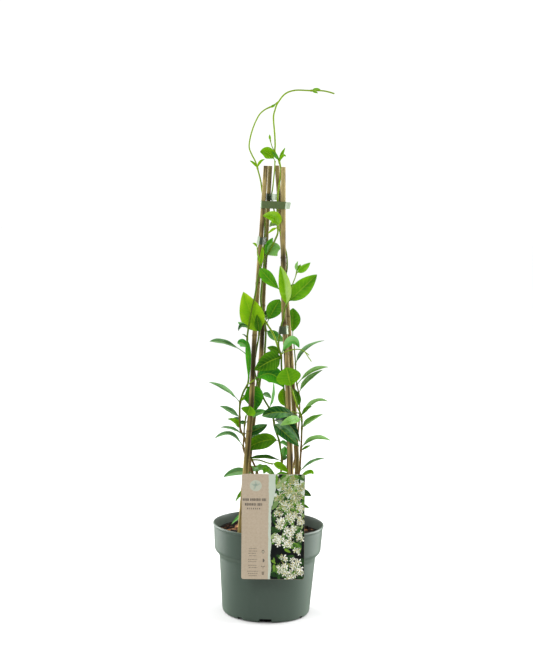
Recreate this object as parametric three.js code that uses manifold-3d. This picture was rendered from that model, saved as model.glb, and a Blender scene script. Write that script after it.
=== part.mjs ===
import * as THREE from 'three';
import Module from 'manifold-3d';

const wasm = await Module();
wasm.setup();

// driving sizes, in millimetres
const GAP = 0.3; // left between neighbouring pieces
const HOLE_AIR = 0.45; // air round a stem in the soil
const ROUND = Math.PI * 2;
const DEGREE = Math.PI / 180;

const POT_SIDES = 32;
const POT_WALL = 1.8;
const RIM_RADIUS = 88.6;
const RIM_HEIGHT = 145;
const COLLAR_FOOT = 102; // height where the wide collar ends
const SHOULDER_FOOT = 90;
const FLOOR = 4; // thickness of the pot's floor
const WIDE_NOTCH = { width: 19, height: 6.5, turn: 0 };
const SMALL_NOTCH = { width: 9, height: 4.5, turn: 54 };

const SOIL_LEVEL = 125;
const SOIL_SIDES = 20;
const CHIP_COUNT = 26;
const CHIP_ROOT = 8; // how far a chip reaches down into the soil

const CARD = { width: 97, height: 165.4, thick: 0.8, corner: 3.5, lowest: 77.2, middle: 7.2, front: -92.4 };
const CARD_TURN = 1.3; // degrees that the card leans
const STAKE = { width: 20, thick: 1.2, depth: -75, lowest: 101, bridge: 150 };

const CANE_SIDES = 7;
const STEM_SIDES = 5;
const STEM_SLACK = 0.8; // how far a straight piece of a stem may leave its curve
const STEM_FINE = 1.5;
const BLADE_THICK = 0.7;
const FOOT = 95; // how deep the stems stand in the soil
const SOIL_TOP = 127; // where a stem leaves the soil

// Points on canes and stems are written as [across, up, depth]. Across and up are sighted from the front
// onto the upright plane through the pot's middle, and depth says how far behind that plane the point is.
const SIGHT = { distance: 2360, height: 700 };

const CANES = {
  cane_front_left: {
    radii: [5.1, 4.9, 4.2, 3.8, 3.5],
    line: [[-48, 60, -38], [-38.6, 230, -30], [-33.2, 340, -24.5], [-31.2, 444, -19.2], [-21.6, 712, -6]],
    knots: [118, 205, 297, 372, 455, 530, 609, 690],
  },
  cane_back_left: {
    radii: [4.1, 4, 3.8, 3.5, 3.3],
    line: [[-44, 60, 41], [-31, 290, 29], [-20.5, 400, 23], [-19, 520, 16.5], [-14.8, 712, 6]],
    knots: [140, 232, 318, 404, 492, 571, 652],
  },
  cane_back_right: {
    radii: [4.3, 4.1, 3.8, 3.6, 3.7],
    line: [[52, 60, 33], [43.5, 227, 26], [28.5, 400, 18], [11, 565, 11], [-4.2, 713, 5]],
    knots: [130, 222, 311, 390, 476, 561, 640],
  },
  cane_front_right: {
    radii: [4.7, 4.5, 4.2, 4.1, 3.7],
    line: [[43, 60, -49], [33, 228, -38], [21.3, 400, -26], [13.7, 488, -19.7], [5.6, 711, -4]],
    knots: [134, 226, 312, 398, 469, 557, 633],
  },
};

// Each leafy stem: stems as [foot radius, tip radius, points], then leaves as
// [base across, up, middle across, up, depth, tip across, up, depth, width, facing, raised, fold, lead].
// Lead is left out for 1; above 1 the widest part lies nearer the tip, below 1 nearer the base.
// Facing is the turn of the leaf's upper side away from the front, raised how far it looks up, in degrees.
const PLANTS = {
  stem_right_outer: {
    stems: [
      [1.9, 1.3, [[20, FOOT, -12], [20, SOIL_TOP, -12], [28, 152, -14], [38, 190, -16], [46.4, 228, -18],
        [48, 259, -17], [48.4, 286, -15], [47, 318, -14], [39, 337, -22], [30.6, 361, -36]]],
      [1, 0.8, [[45, 323, -15], [32, 326, 4], [22, 331, 10]]],
    ],
    leaves: [
      [46.6, 230, 66, 245, -22, 86, 252, -26, 12, 15, 74, 15],
      [48.2, 268, 69, 284, -18, 95, 281, -22, 14, 10, 68, 12],
      [48, 264, 56, 269, -17, 63, 272, -18, 5, 0, 45, 10],
      [48.2, 299, 61, 312, -10, 81, 323, -6, 13, -25, 55, 20],
      [47, 320, 66, 342, -12, 88, 344, -14, 12, 0, 70, 15],
      [47, 320, 54, 330, -18, 63, 335, -22, 8, 0, 45, 10],
      [47, 317, 14, 324.5, -50, -15.5, 317, -44, 20, 0, 12, 12, 1.4],
      [47.4, 313, 32, 312.5, -47, 14.5, 303, -51, 13.5, 0, 15, 14],
      [30.6, 361, 25.5, 378, -45, 20.5, 396.5, -49, 39.5, 0, 5, 12, 1.45],
      [22, 331, 16.5, 348, 10, 17, 363, 9, 16, 0, 0, 10],
      [41, 333, 39, 347, -9, 34, 363, -5, 13, 20, 0, 15],
      [44.5, 218, 62, 229, -24, 69, 225, -26, 9, 0, 50, 10],
      [38, 190, 53, 195, -22, 67, 190, -26, 13, 0, 35, 10],
      [34, 172, 50, 175, -20, 65, 170, -24, 8, 0, 45, 10],
    ],
  },
  stem_right_back: {
    stems: [
      [1.5, 0.9, [[14, FOOT, 26], [14, SOIL_TOP, 26], [30, 200, 16], [40, 260, 6], [44, 330, 2], [42, 354, 2],
        [38.5, 368, 0], [35.5, 390, 1], [35, 402, 3], [33, 420, 15], [31, 436, 22], [29, 446, 23]]],
    ],
    leaves: [
      [38.5, 370, 60, 391, 8, 87, 399, 14, 11, -10, 62, 15, 1.3],
      [42, 355, 54, 376, 10, 78, 394, 18, 11, -20, 50, 20, 1.2],
      [35, 402, 50, 427, 10, 79, 441, 16, 10, 20, 72, 15],
      [29, 446, 28.5, 469, 25, 28, 491, 24, 25, 0, 0, 10, 1.35],
    ],
  },
  stem_middle: {
    stems: [
      [1.8, 1.3, [[4, FOOT, -4], [4, SOIL_TOP, -4], [10, 170, -8], [16, 215, -10], [18.4, 247, -10],
        [15.3, 266, -9], [13, 278, -8], [5, 300, -6], [3, 312, -5], [-5, 331, -2], [-13, 344, 0],
        [-22, 365, 2], [-30, 392, -2], [-28.6, 414, -10], [-27, 427, -16], [-25, 440, -21], [-24, 452, -26]]],
    ],
    leaves: [
      [18.4, 246, -8, 251, -20, -36, 247.5, -20, 15, 0, 76, 10],
      [18, 250, 21, 260, -10, 22.5, 270, -9, 12, 0, 0, 10],
      [14, 272, 20, 276, -11, 27, 268, -12, 7, 0, 10, 10],
      [18.4, 246, 23, 251, -12, 27, 251, -14, 7, 0, 20, 10],
      [18.2, 244, 14, 239, -14, 10, 238, -17, 7, 0, 20, 10],
      [13, 278, -13, 277, -6, -44, 260.5, -3, 25, 0, 8, 8],
      [4.8, 306, 23, 290, -44, 45, 270, -44, 19, 10, 4, 14, 0.75],
      [3.4, 311, 27, 305, -43, 46, 277, -41, 17, 10, 4, 10, 0.8],
      [-16, 351, -9, 352, -3, -2, 346, -5, 8, 0, 15, 10],
      [-4, 330, 0.3, 349, -5, 1, 372, -9, 10, 62, 0, 10],
      [-24, 451, -37, 479, -30, -51, 514, -27, 38, 0, 0, 6, 0.85],
      [-24, 449, -26, 463, -33, -28.5, 479, -34, 12, 0, 0, 10],
      [15, 210, -7, 233, -15, -21, 226, -19, 10, 0, 14, 12],
      [8, 160, 2, 176, -24, -10, 184, -34, 14, 0, 50, 12],
      [11, 178, 12, 192, 20, 6, 196, 42, 16, 160, 50, 12],
      [15, 208, 2, 216, 12, -10, 214, 34, 18, 180, 40, 12],
    ],
  },
  stem_left_inner: {
    stems: [
      [1.8, 1.2, [[-8, FOOT, -14], [-8, SOIL_TOP, -14], [-18, 180, -16], [-28.5, 228, -17], [-33, 239, -18],
        [-40, 253, -18.5], [-43.6, 264, -20], [-43.4, 283, -21], [-43, 300, -24], [-41, 317, -31.5]]],
    ],
    leaves: [
      [-43.6, 265, -64, 286, -24, -89.5, 279, -30, 13, -10, 68, 15, 1.2],
      [-43.4, 284, -60, 294, -26, -81, 297, -32, 11, -10, 70, 15, 1.2],
      [-41, 314, -37.5, 323, -37, -35, 332.5, -39, 25, -10, 10, 15, 1.6],
      [-42.6, 303, -26, 321, -14, -6.5, 324, -13, 10, 0, 20, 10, 1.2],
      [-43.3, 288, -24, 295, -16, -6.5, 304, -16, 15, 0, 10, 10],
      [-42.6, 304, -46, 306, -27, -51, 304, -29, 7, 0, 15, 10],
      [-27.6, 224, -52, 226, -20, -74, 216.5, -26, 14, 0, 40, 12],
      [-28.5, 228, -24, 231, -21, -18, 230, -25, 8, 0, 30, 10],
      [-22, 198, -39, 196, -18, -54, 177, -22, 9, -30, 20, 10],
      [-12.6, 152, -36, 158, -16, -59, 140, -20, 9, -10, 50, 10],
    ],
  },
  stem_left_outer: {
    stems: [
      [1.8, 1.1, [[-4, FOOT, 6], [-4, SOIL_TOP, 6], [-12, 180, -2], [-21.4, 229, -8], [-29, 245, -9],
        [-38, 266, -10], [-43, 283, -11], [-48.7, 292.6, -12], [-51, 314, -13], [-51, 337, -14],
        [-49, 346.5, -15], [-45.4, 357, -17], [-40.5, 366, -21], [-38.8, 374, -25], [-38.8, 392, -26],
        [-39.4, 413, -27], [-41.4, 426, -28], [-42.7, 440, -30], [-42, 451, -34], [-38.8, 475, -36],
        [-36, 491, -36], [-32.5, 508, -33], [-29.7, 529, -24], [-27.8, 540, -21.5], [-25.9, 549, -20.5],
        [-23.5, 560, -19], [-21.4, 570, -12], [-20.4, 590, -4], [-20, 612, 0], [-20.6, 632, 0],
        [-21.5, 650, 0], [-26.4, 673, 0], [-28, 684, -2], [-30.7, 695, -4], [-33.4, 704, -6],
        [-37.5, 717, -6], [-43.9, 728.5, -8], [-48, 738, -8], [-48.3, 746, -8], [-46.6, 757, -8],
        [-43.4, 769, -8], [-38.4, 782, -8], [-32.7, 792, -8], [-24.5, 799, -8], [-12.6, 805, -8],
        [-5.6, 811, -7]]],
      [1.3, 1.1, [[-29.5, 246, -9], [-18, 246, -14], [-4.6, 242, -21], [3.5, 240.5, -24]]],
      [1, 0.8, [[-40, 368, -22], [-35, 370.5, -31], [-29.5, 375, -29]]],
      [0.8, 0.7, [[-24.6, 555, -20], [-30.4, 573, -20], [-31, 584, -16]]],
    ],
    leaves: [
      [3.5, 240.5, 15, 238, -27, 30, 227, -28, 12, 0, 20, 15],
      [-48.7, 293, -56, 306, -15, -70.5, 310.6, -20, 10, -20, 45, 12],
      [-50.4, 306, -55, 310, -10, -62, 312, -8, 9, 0, 20, 10],
      [-51, 314, -66, 324, -16, -83, 331, -20, 12, -10, 56, 12],
      [-51, 337, -70, 355, -18, -101, 369, -26, 12, -10, 62, 15, 1.6],
      [-50.6, 340, -46.5, 344, -17, -45, 349, -19, 4, 0, 0, 10],
      [-29.5, 375, -3, 385, -29, 18, 364, -26, 27, 0, 0, 10],
      [-41.5, 364, -30, 349, -11, -28, 325, -6, 32, 0, 0, 12, 0.85],
      [-39.4, 411, -69, 430, -32, -102, 434, -38, 14, -10, 62, 15, 2],
      [-41.2, 425, -50, 433, -24, -58, 432, -20, 13, 0, 10, 10],
      [-41.4, 459, -51, 462, -37, -58, 466, -38, 7, 0, 20, 12],
      [-41.4, 459, -52, 461, -40, -57, 452, -43, 6, 0, 30, 12],
      [-42.7, 440, -46, 445, -32, -51, 447, -34, 2.4, 0, 40, 5],
      [-31, 584, -34, 589, -16, -39, 591, -17, 4, 0, 30, 10],
      [-34.5, 708, -40.5, 715, -8, -47, 719, -9, 4.5, 0, 40, 10],
      [-34.5, 708, -31, 717, -8, -23.5, 722, -9, 4.5, 0, 20, 10],
      [-10, 170, -26, 182, -4, -38, 186, 0, 14, 0, 50, 12],
      [-24.6, 556, -23.4, 571, -21, -22.6, 587, -19, 6, 0, 0, 10],
      [-26.5, 561, -28.2, 567, -22, -29.3, 574.5, -21, 3.5, 0, 0, 10],
      [-42.7, 440, -40, 411, -36.5, -38.3, 373, -33, 9, 0, 0, 10, 0.8],
      [-17.5, 800.5, -13.5, 804, -9, -9.5, 807, -9, 4.5, 0, 20, 10],
    ],
  },
  stem_top: {
    stems: [
      [1.8, 1.25, [[-14, FOOT, 14], [-14, SOIL_TOP, 14], [-24, 200, 14], [-34, 250, 8], [-33, 290, 6],
        [-31, 320, 6], [-26, 350, 10], [-19, 385, 14], [-15, 410, 15], [-14, 430, 15], [-14, 456, 13],
        [-19, 480, 8], [-23, 500, 6], [-22, 530, 6], [-20, 550, 5], [-17.5, 569, 4], [-11.5, 580, 3],
        [-7.2, 589, 2], [-3.2, 598, 0], [0.3, 608, -4], [0, 618, -6], [-1.5, 640, -4], [-1.6, 661, -2],
        [0, 682, -2], [1.6, 696, -1], [1.6, 710, 1], [0, 716, 0], [-3.5, 726, 0], [-8, 734, 0],
        [-8, 744, 0], [-8.9, 757, 0], [-10.2, 769, 0], [-11.6, 780.5, 0], [-11.9, 790, 0], [-10, 798, 1],
        [-7.8, 805.5, 2], [-4.4, 811.6, 3], [1.4, 820, 3], [7.3, 825, 3], [14.4, 828, 3], [22.8, 829.6, 3],
        [44, 829.6, 3], [61, 830, 3], [71, 828.7, 3], [81.4, 826, 3]]],
      [0.8, 0.7, [[-6, 731, 0], [-10.6, 737.5, -1], [-13.6, 744, -1], [-15.6, 751, -1], [-16.6, 756, -1]]],
    ],
    leaves: [
      [-17.5, 570, -14, 586, 6.3, -7, 600.5, 5, 12.5, 0, 0, 12],
      [-17.5, 570, -5, 582, 7.2, 5, 583, 6.5, 23, 0, 0, 10],
      [0.5, 617, -5, 631.5, -15, -24, 634, -17.5, 20, -15, 15, 20],
      [0, 617, -8, 613, -9, -14.5, 606.5, -10, 4.5, 0, 20, 10],
      [0, 618, -6.5, 623, -5, -13, 617, -4, 9, 180, 0, 10],
      [-1.8, 721, -6.8, 728, -10, -13.5, 735, -14, 6, 0, 10, 10],
      [0, 717, 2.4, 729, 0, 7.8, 741, 0, 5.5, 0, 10, 10],
      [0.4, 719, 4.5, 728, -4, 9.5, 727, -5, 5, 0, 30, 10],
      [45, 829.6, 52, 831.8, 2, 59.5, 832, 1, 4.5, 0, 20, 10],
      [45, 829.6, 50.5, 828, 2, 56, 826, 1, 4, 0, 20, 10],
      [-14, 455, 0, 446.5, 10, 17, 438, 6, 15, 0, 10, 10],
      [-33.2, 282, -18, 281, 32, -4, 276, 56, 18, 60, 50, 12],
      [-27, 345, -38, 352, 24, -41, 345, 46, 18, 240, 50, 12],
      [-17, 395, -5, 395, 32, 0, 390, 56, 18, 100, 50, 12],
      [-15, 408, -6, 412, 34, 2, 404, 54, 18, 120, 50, 12],
      [-21.6, 535, -13, 541, 3, -6, 537, 4, 8, 0, 20, 12],
      [-15.6, 751, -16.6, 755.5, -2, -17.2, 760.5, -2, 4, 0, 0, 10],
    ],
  },
  stem_right_twiner: {
    stems: [
      [1.8, 1.1, [[24, FOOT, 8], [24, SOIL_TOP, 8], [28, 200, 6], [27, 260, 4], [23, 320, -6],
        [18, 360, -16], [13, 395, -22], [11.6, 415, -26], [7.5, 428, -28], [7.2, 442, -28],
        [9.3, 453, -27], [10.5, 464, -27.5], [13.5, 474.5, -29], [14.5, 485, -29], [18.7, 499, -25],
        [21, 511, -16], [18, 525, -6], [14.8, 539, -4], [16.6, 552, -10], [16.6, 562, -12],
        [15, 576, -9], [10, 592, -3], [5, 606, -1], [-1, 625, 2.5], [-7, 645, 5], [-10.5, 660, 8],
        [-11, 668, 7], [-9.8, 678, 3], [-8.9, 690, -1], [-7.8, 706, -2], [-7.5, 720, -3]]],
      [1.7, 1.4, [[10.5, 418, -27], [7, 427, -21], [2, 440, -14], [-3, 451, -8], [-10, 461.5, -4],
        [-16, 470, -2]]],
      [0.9, 0.7, [[11, 417, -27], [16, 420, -32], [23, 423, -33], [33.5, 425.6, -30], [44, 425, -28],
        [49, 422, -27], [54, 415, -27], [60, 407, -27]]],
      [0.8, 0.7, [[48, 423, -27], [52, 420, -25], [56, 417, -24]]],
      [0.9, 0.8, [[20.5, 508, -18], [26, 528, -13], [30.5, 541, -11], [32, 549, -10]]],
    ],
    leaves: [
      [12, 412, -6.5, 405, -34, -29.5, 390, -32, 30, 0, 0, 8, 0.8],
      [11, 417, 1, 424, -22, -11, 427, -20, 11, 0, 10, 10],
      [11, 417, 27, 439, -35, 40, 428, -39, 15, 0, 25, 15],
      [19.5, 507, -6, 530.5, -33, -26, 552, -31, 19, 0, 5, 10, 1.9],
      [18.5, 495, 13.5, 528, -38, 5.5, 557, -36, 19.5, 0, 0, 10, 0.8],
      [18.7, 499, 40, 521, -28, 64, 545, -22, 27, 0, 5, 8],
      [32, 549, 31, 557, -12, 33.5, 565, -14, 5, 0, 10, 10],
      [31.5, 547, 42, 553.5, -13, 53, 563.5, -15, 11, 0, 5, 10],
      [32, 549, 35, 555, -10, 38, 560, -9, 5, 0, 20, 10],
      [-12, 465, -3, 486, -8, 7, 504, -10, 24.5, 0, 5, 8, 1.3],
      [-7.5, 720, -18, 731, -7, -31.4, 733, -10, 19, 0, 12, 12, 1.15],
      [25.4, 290, 20, 292, 22, 14, 296, 46, 18, 150, 50, 12],
      [23, 319, 13, 324, 16, 4, 326, 40, 18, 180, 50, 12],
      [16, 375, 10, 383, 6, 5, 380, 34, 18, 170, 50, 12],
      [19.4, 518, 34, 523, 6, 50, 518, 26, 20, 120, 40, 12],
      [-15, 469, -8, 482, 9, 0, 490, 30, 16, 150, 40, 12],
    ],
  },
  shoot_back_left: {
    stems: [
      [1.7, 1, [[-18, FOOT, 34], [-18, SOIL_TOP, 34], [-22, 160, 40], [-24, 200, 44], [-22, 230, 46]]],
    ],
    leaves: [
      [-20, 148, -30, 164, 52, -36, 158, 72, 17, 200, 50, 12],
      [-22, 165, -10, 178, 54, 2, 174, 70, 18, 150, 50, 12],
      [-24, 190, -32, 205, 58, -36, 203, 78, 18, 200, 50, 12],
      [-24, 205, -12, 215, 60, 0, 210, 76, 18, 150, 50, 12],
      [-22, 229, -27, 236, 60, -31, 228, 80, 16, 190, 60, 12],
      [-22, 229, -14, 237, 54, -5, 236, 68, 15, 150, 50, 12],
    ],
  },
  shoot_back_right: {
    stems: [
      [1.7, 1, [[20, FOOT, 42], [20, SOIL_TOP, 42], [26, 165, 48], [30, 205, 52], [33, 232, 54]]],
    ],
    leaves: [
      [23, 150, 36, 166, 56, 47, 162, 70, 17, 160, 50, 12],
      [26, 168, 16, 182, 60, 8, 176, 78, 18, 190, 50, 12],
      [29, 192, 40, 206, 62, 49, 201, 76, 18, 150, 50, 12],
      [30, 208, 20, 218, 64, 12, 211, 82, 18, 190, 50, 12],
      [33, 231, 41, 237, 66, 47, 230, 82, 16, 160, 60, 12],
      [33, 231, 26, 238, 66, 20, 233, 84, 15, 190, 60, 12],
    ],
  },
  shoot_front: {
    stems: [
      [1.6, 1, [[4, FOOT, -46], [4, SOIL_TOP, -46], [8, 160, -52], [6, 200, -56], [4, 224, -58]]],
    ],
    leaves: [
      [6, 150, -8, 168, -60, -24, 164, -68, 16, -20, 50, 12],
      [8, 168, 22, 184, -60, 32, 178, -74, 16, 20, 50, 12],
      [6, 195, -12, 210, -64, -28, 205, -72, 17, -20, 50, 12],
      [5, 210, 18, 222, -64, 28, 216, -76, 16, 20, 50, 12],
      [4, 223, -4, 231, -66, -10, 224, -78, 14, 0, 60, 12],
    ],
  },
};

const TIES = {
  tie_top: {
    around: ['cane_front_left', 'cane_back_left', 'cane_back_right', 'cane_front_right'],
    low: 646,
    high: 657.4,
  },
  tie_top_back: { around: ['cane_back_left', 'stem_right_twiner'], low: 658.4, high: 669 },
  tie_left: { around: ['cane_front_left', 'stem_left_outer'], low: 590, high: 601 },
  tie_right: { around: ['cane_front_right', 'stem_right_twiner'], low: 452, high: 464 },
};
const TIE_SIDES = 14;
const TIE_THICK = 0.8;
const TIE_SLACK = 0.5; // air between a tie and what it holds
const HELD_STEM = 1.9;

// plain helpers
const sum = (a, b) => a.map((value, i) => value + b[i]);
const minus = (a, b) => a.map((value, i) => value - b[i]);
const times = (a, k) => a.map((value) => value * k);
const dot = (a, b) => a[0] * b[0] + a[1] * b[1] + a[2] * b[2];
const cross = (a, b) => [a[1] * b[2] - a[2] * b[1], a[2] * b[0] - a[0] * b[2], a[0] * b[1] - a[1] * b[0]];
const unit = (a) => times(a, 1 / Math.hypot(...a));
const mix = (a, b, t) => a + (b - a) * t;

// the place in space of a point written as [across, up, depth]
function spot([across, up, depth]) {
  const k = (SIGHT.distance + depth) / SIGHT.distance;
  return [across * k, depth, SIGHT.height + (up - SIGHT.height) * k];
}

// a small repeatable source of numbers from 0 to 1
function dice(seed) {
  let state = seed;
  return () => {
    state = (state * 16807) % 2147483647;
    return state / 2147483647;
  };
}

function manifold(points, faces) {
  const mesh = new wasm.Mesh({
    numProp: 3,
    vertProperties: new Float32Array(points.flat()),
    triVerts: new Uint32Array(faces.flat()),
  });
  return new wasm.Manifold(mesh);
}

// six times the volume that the faces enclose; its sign tells their winding
function windingOf(points, faces) {
  return faces.reduce((total, [a, b, c]) => total + dot(points[a], cross(points[b], points[c])), 0);
}

function outward(points, faces) {
  return windingOf(points, faces) > 0 ? faces : faces.map(([a, b, c]) => [a, c, b]);
}

function joined(pieces) {
  return pieces.reduce((whole, piece) => whole.add(piece));
}

// closed skin over rings of equally many points, with flat ends
function skin(rings) {
  const count = rings[0].length;
  const faces = [];
  for (let k = 0; k + 1 < rings.length; k++) {
    for (let i = 0; i < count; i++) {
      const a = k * count + i;
      const b = k * count + (i + 1) % count;
      faces.push([a, b, b + count], [a, b + count, a + count]);
    }
  }
  const last = (rings.length - 1) * count;
  for (let i = 1; i + 1 < count; i++) {
    faces.push([0, i + 1, i], [last, last + i, last + i + 1]);
  }
  const points = rings.flat();
  return manifold(points, outward(points, faces));
}

// solid of revolution about the upright axis; the profile starts and ends on the axis
function turned(profile, sides) {
  const points = [[0, 0, profile[0][1]]];
  const inner = profile.slice(1, -1);
  inner.forEach(([radius, z]) => {
    for (let i = 0; i < sides; i++) {
      const angle = ROUND * i / sides;
      points.push([radius * Math.cos(angle), radius * Math.sin(angle), z]);
    }
  });
  points.push([0, 0, profile[profile.length - 1][1]]);
  const faces = [];
  const top = points.length - 1;
  for (let i = 0; i < sides; i++) {
    const next = (i + 1) % sides;
    faces.push([0, 1 + next, 1 + i]);
    for (let k = 0; k + 1 < inner.length; k++) {
      const a = 1 + k * sides;
      const b = a + sides;
      faces.push([a + i, a + next, b + next], [a + i, b + next, b + i]);
    }
    const rim = 1 + (inner.length - 1) * sides;
    faces.push([top, rim + i, rim + next]);
  }
  return manifold(points, outward(points, faces));
}

function box([x0, y0, z0], [x1, y1, z1]) {
  const ring = (z) => [[x0, y0, z], [x1, y0, z], [x1, y1, z], [x0, y1, z]];
  return skin([ring(z0), ring(z1)]);
}

// smooth line through the points, in steps no longer than step
function through(points, step) {
  const first = minus(times(points[0], 2), points[1]);
  const last = minus(times(points[points.length - 1], 2), points[points.length - 2]);
  const all = [first, ...points, last];
  const line = [];
  for (let i = 1; i + 2 < all.length; i++) {
    const [p, q, r, s] = all.slice(i - 1, i + 3);
    const gaps = [[p, q], [q, r], [r, s]].map(([a, b]) => Math.sqrt(Math.hypot(...minus(b, a))));
    const steps = Math.ceil(gaps[1] ** 2 / step);
    for (let k = 0; k < steps; k++) {
      const t = k / steps;
      line.push(q.map((_, axis) => {
        const values = [p[axis], q[axis], r[axis], s[axis]];
        return smoothStep(values, gaps, t);
      }));
    }
  }
  line.push(points[points.length - 1]);
  return line;
}

function smoothStep([p, q, r, s], [g, h, j], t) {
  const start = ((q - p) / g - (r - p) / (g + h) + (r - q) / h) * h;
  const end = ((r - q) / h - (s - q) / (h + j) + (s - r) / j) * h;
  const square = -3 * q + 3 * r - 2 * start - end;
  const cube = 2 * q - 2 * r + start + end;
  return q + start * t + square * t * t + cube * t * t * t;
}

// round rings across a line, carried along it without twisting
function ringsAlong(line, radiusAt, sides) {
  let side = null;
  return line.map((point, k) => {
    const ahead = unit(minus(line[Math.min(k + 1, line.length - 1)], line[Math.max(k - 1, 0)]));
    const before = side ?? [1, 0, 0];
    side = unit(minus(before, times(ahead, dot(before, ahead))));
    const other = cross(ahead, side);
    const radius = radiusAt(k / (line.length - 1), k);
    return Array.from({ length: sides }, (_, i) => {
      const angle = ROUND * i / sides;
      return sum(point, sum(times(side, radius * Math.cos(angle)), times(other, radius * Math.sin(angle))));
    });
  });
}

// the pot: a turned wall with notches in its bottom corner
const shell = [
  [0, 0], [32, 0], [34, 2], [56, 2], [58, 0], [62.5, 0], [66.6, 1.3], [69.2, 4.2], [70.3, 8.5],
  [76.9, SHOULDER_FOOT], [77.9, SHOULDER_FOOT + 4.5], [80.6, SHOULDER_FOOT + 8.2], [83.6, COLLAR_FOOT - 1.2],
  [84.9, COLLAR_FOOT + 2], [87.3, 140.2], [88.2, 141.2], [RIM_RADIUS, 143], [88.2, 144.6],
  [86.8, RIM_HEIGHT], [85.7, 144.5],
];
const lining = [
  [85.4, 140], [84.9 - POT_WALL, COLLAR_FOOT + 2], [82, COLLAR_FOOT - 0.7], [79.6, COLLAR_FOOT - 2.6],
  [76.3, SHOULDER_FOOT + 5.6], [76.9 - POT_WALL, SHOULDER_FOOT], [70.3 - POT_WALL, 8.5], [66.8, 5.2],
  [63, FLOOR],
];

function notches(kind) {
  const reach = 12;
  return [0, 90, 180, 270].map((quarter) => {
    const block = box([61, -kind.width / 2, -1], [61 + reach, kind.width / 2, kind.height]);
    return block.rotate([0, 0, quarter - 90 + kind.turn]);
  });
}

const pot = [...notches(WIDE_NOTCH), ...notches(SMALL_NOTCH)].reduce(
  (body, block) => body.subtract(block),
  turned([...shell, ...lining, [0, FLOOR]], POT_SIDES),
);

// the four bamboo canes
function caneLine(cane) {
  return through(cane.line.map(spot), 1000);
}

function caneAt(cane, z) {
  const line = through(cane.line.map(spot), 12);
  const k = Math.max(1, line.findIndex((point) => point[2] >= z));
  const t = (z - line[k - 1][2]) / (line[k][2] - line[k - 1][2]);
  return line[k - 1].map((value, axis) => mix(value, line[k][axis], t));
}

function caneRadius(cane, z) {
  const marks = caneLine(cane).map((point) => point[2]);
  const k = Math.min(marks.length - 1, Math.max(1, marks.findIndex((mark) => mark >= z)));
  const t = Math.min(1, Math.max(0, (z - marks[k - 1]) / (marks[k] - marks[k - 1])));
  return mix(cane.radii[k - 1], cane.radii[k], t);
}

const KNOT_SWELL = 0.5;
const KNOT_HALF = 2;

function caneBody(cane) {
  const ends = caneLine(cane).map((point) => point[2]);
  const low = ends[0];
  const high = ends[ends.length - 1];
  const stops = [[low, 0], [high, 0]];
  cane.knots.forEach((z) => stops.push([z - KNOT_HALF, 0], [z, KNOT_SWELL], [z + KNOT_HALF, 0]));
  stops.sort((a, b) => a[0] - b[0]);
  const rings = stops.map(([z, swell]) => {
    const [x, y] = caneAt(cane, z);
    const radius = caneRadius(cane, z) + swell;
    return Array.from({ length: CANE_SIDES }, (_, i) => {
      const angle = ROUND * i / CANE_SIDES;
      return [x + radius * Math.cos(angle), y + radius * Math.sin(angle), z];
    });
  });
  return skin(rings);
}

// the hole that a cane stands in
function caneHole(cane) {
  const line = [58, 100, 150].map((z) => caneAt(cane, Math.max(z, caneLine(cane)[0][2] + 0.01)));
  line[0][2] = caneLine(cane)[0][2] - GAP;
  const rings = line.map(([x, y, z]) => {
    const radius = caneRadius(cane, z) + KNOT_SWELL + GAP;
    return Array.from({ length: CANE_SIDES }, (_, i) => {
      const angle = ROUND * i / CANE_SIDES;
      return [x + radius * Math.cos(angle), y + radius * Math.sin(angle), z];
    });
  });
  return skin(rings);
}

// leafy stems: a tube with blades sunk into it
// along the leaf, half width as a share of the widest, thickness as a share
const BROAD = [[0, 0, 1.6], [0.1, 0.05, 1.5], [0.26, 0.68, 1], [0.5, 1, 1], [0.8, 0.62, 1], [1, 0, 0.9]];
const SLIM = [[0, 0, 1.6], [0.12, 0.05, 1.5], [0.42, 1, 1], [0.78, 0.66, 1], [1, 0, 0.9]];
const TINY = [[0, 0, 1.6], [0.3, 0.8, 1], [0.65, 0.9, 1], [1, 0, 0.9]];
const SLIM_WIDTH = 14;
const TINY_WIDTH = 9;
const STALK_HALF = 0.6;

function facing(turn, raised) {
  const level = Math.cos(raised * DEGREE);
  return [Math.sin(turn * DEGREE) * level, -Math.cos(turn * DEGREE) * level, Math.sin(raised * DEGREE)];
}

// the point of the stems nearest to a sighted place
function nearest(lines, across, up) {
  let best = null;
  lines.flat().forEach((point) => {
    const k = SIGHT.distance / (SIGHT.distance + point[1]);
    const away = Math.hypot(point[0] * k - across, SIGHT.height + (point[2] - SIGHT.height) * k - up);
    if (!best || away < best.away) {
      best = { away, point };
    }
  });
  return best.point;
}

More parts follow.
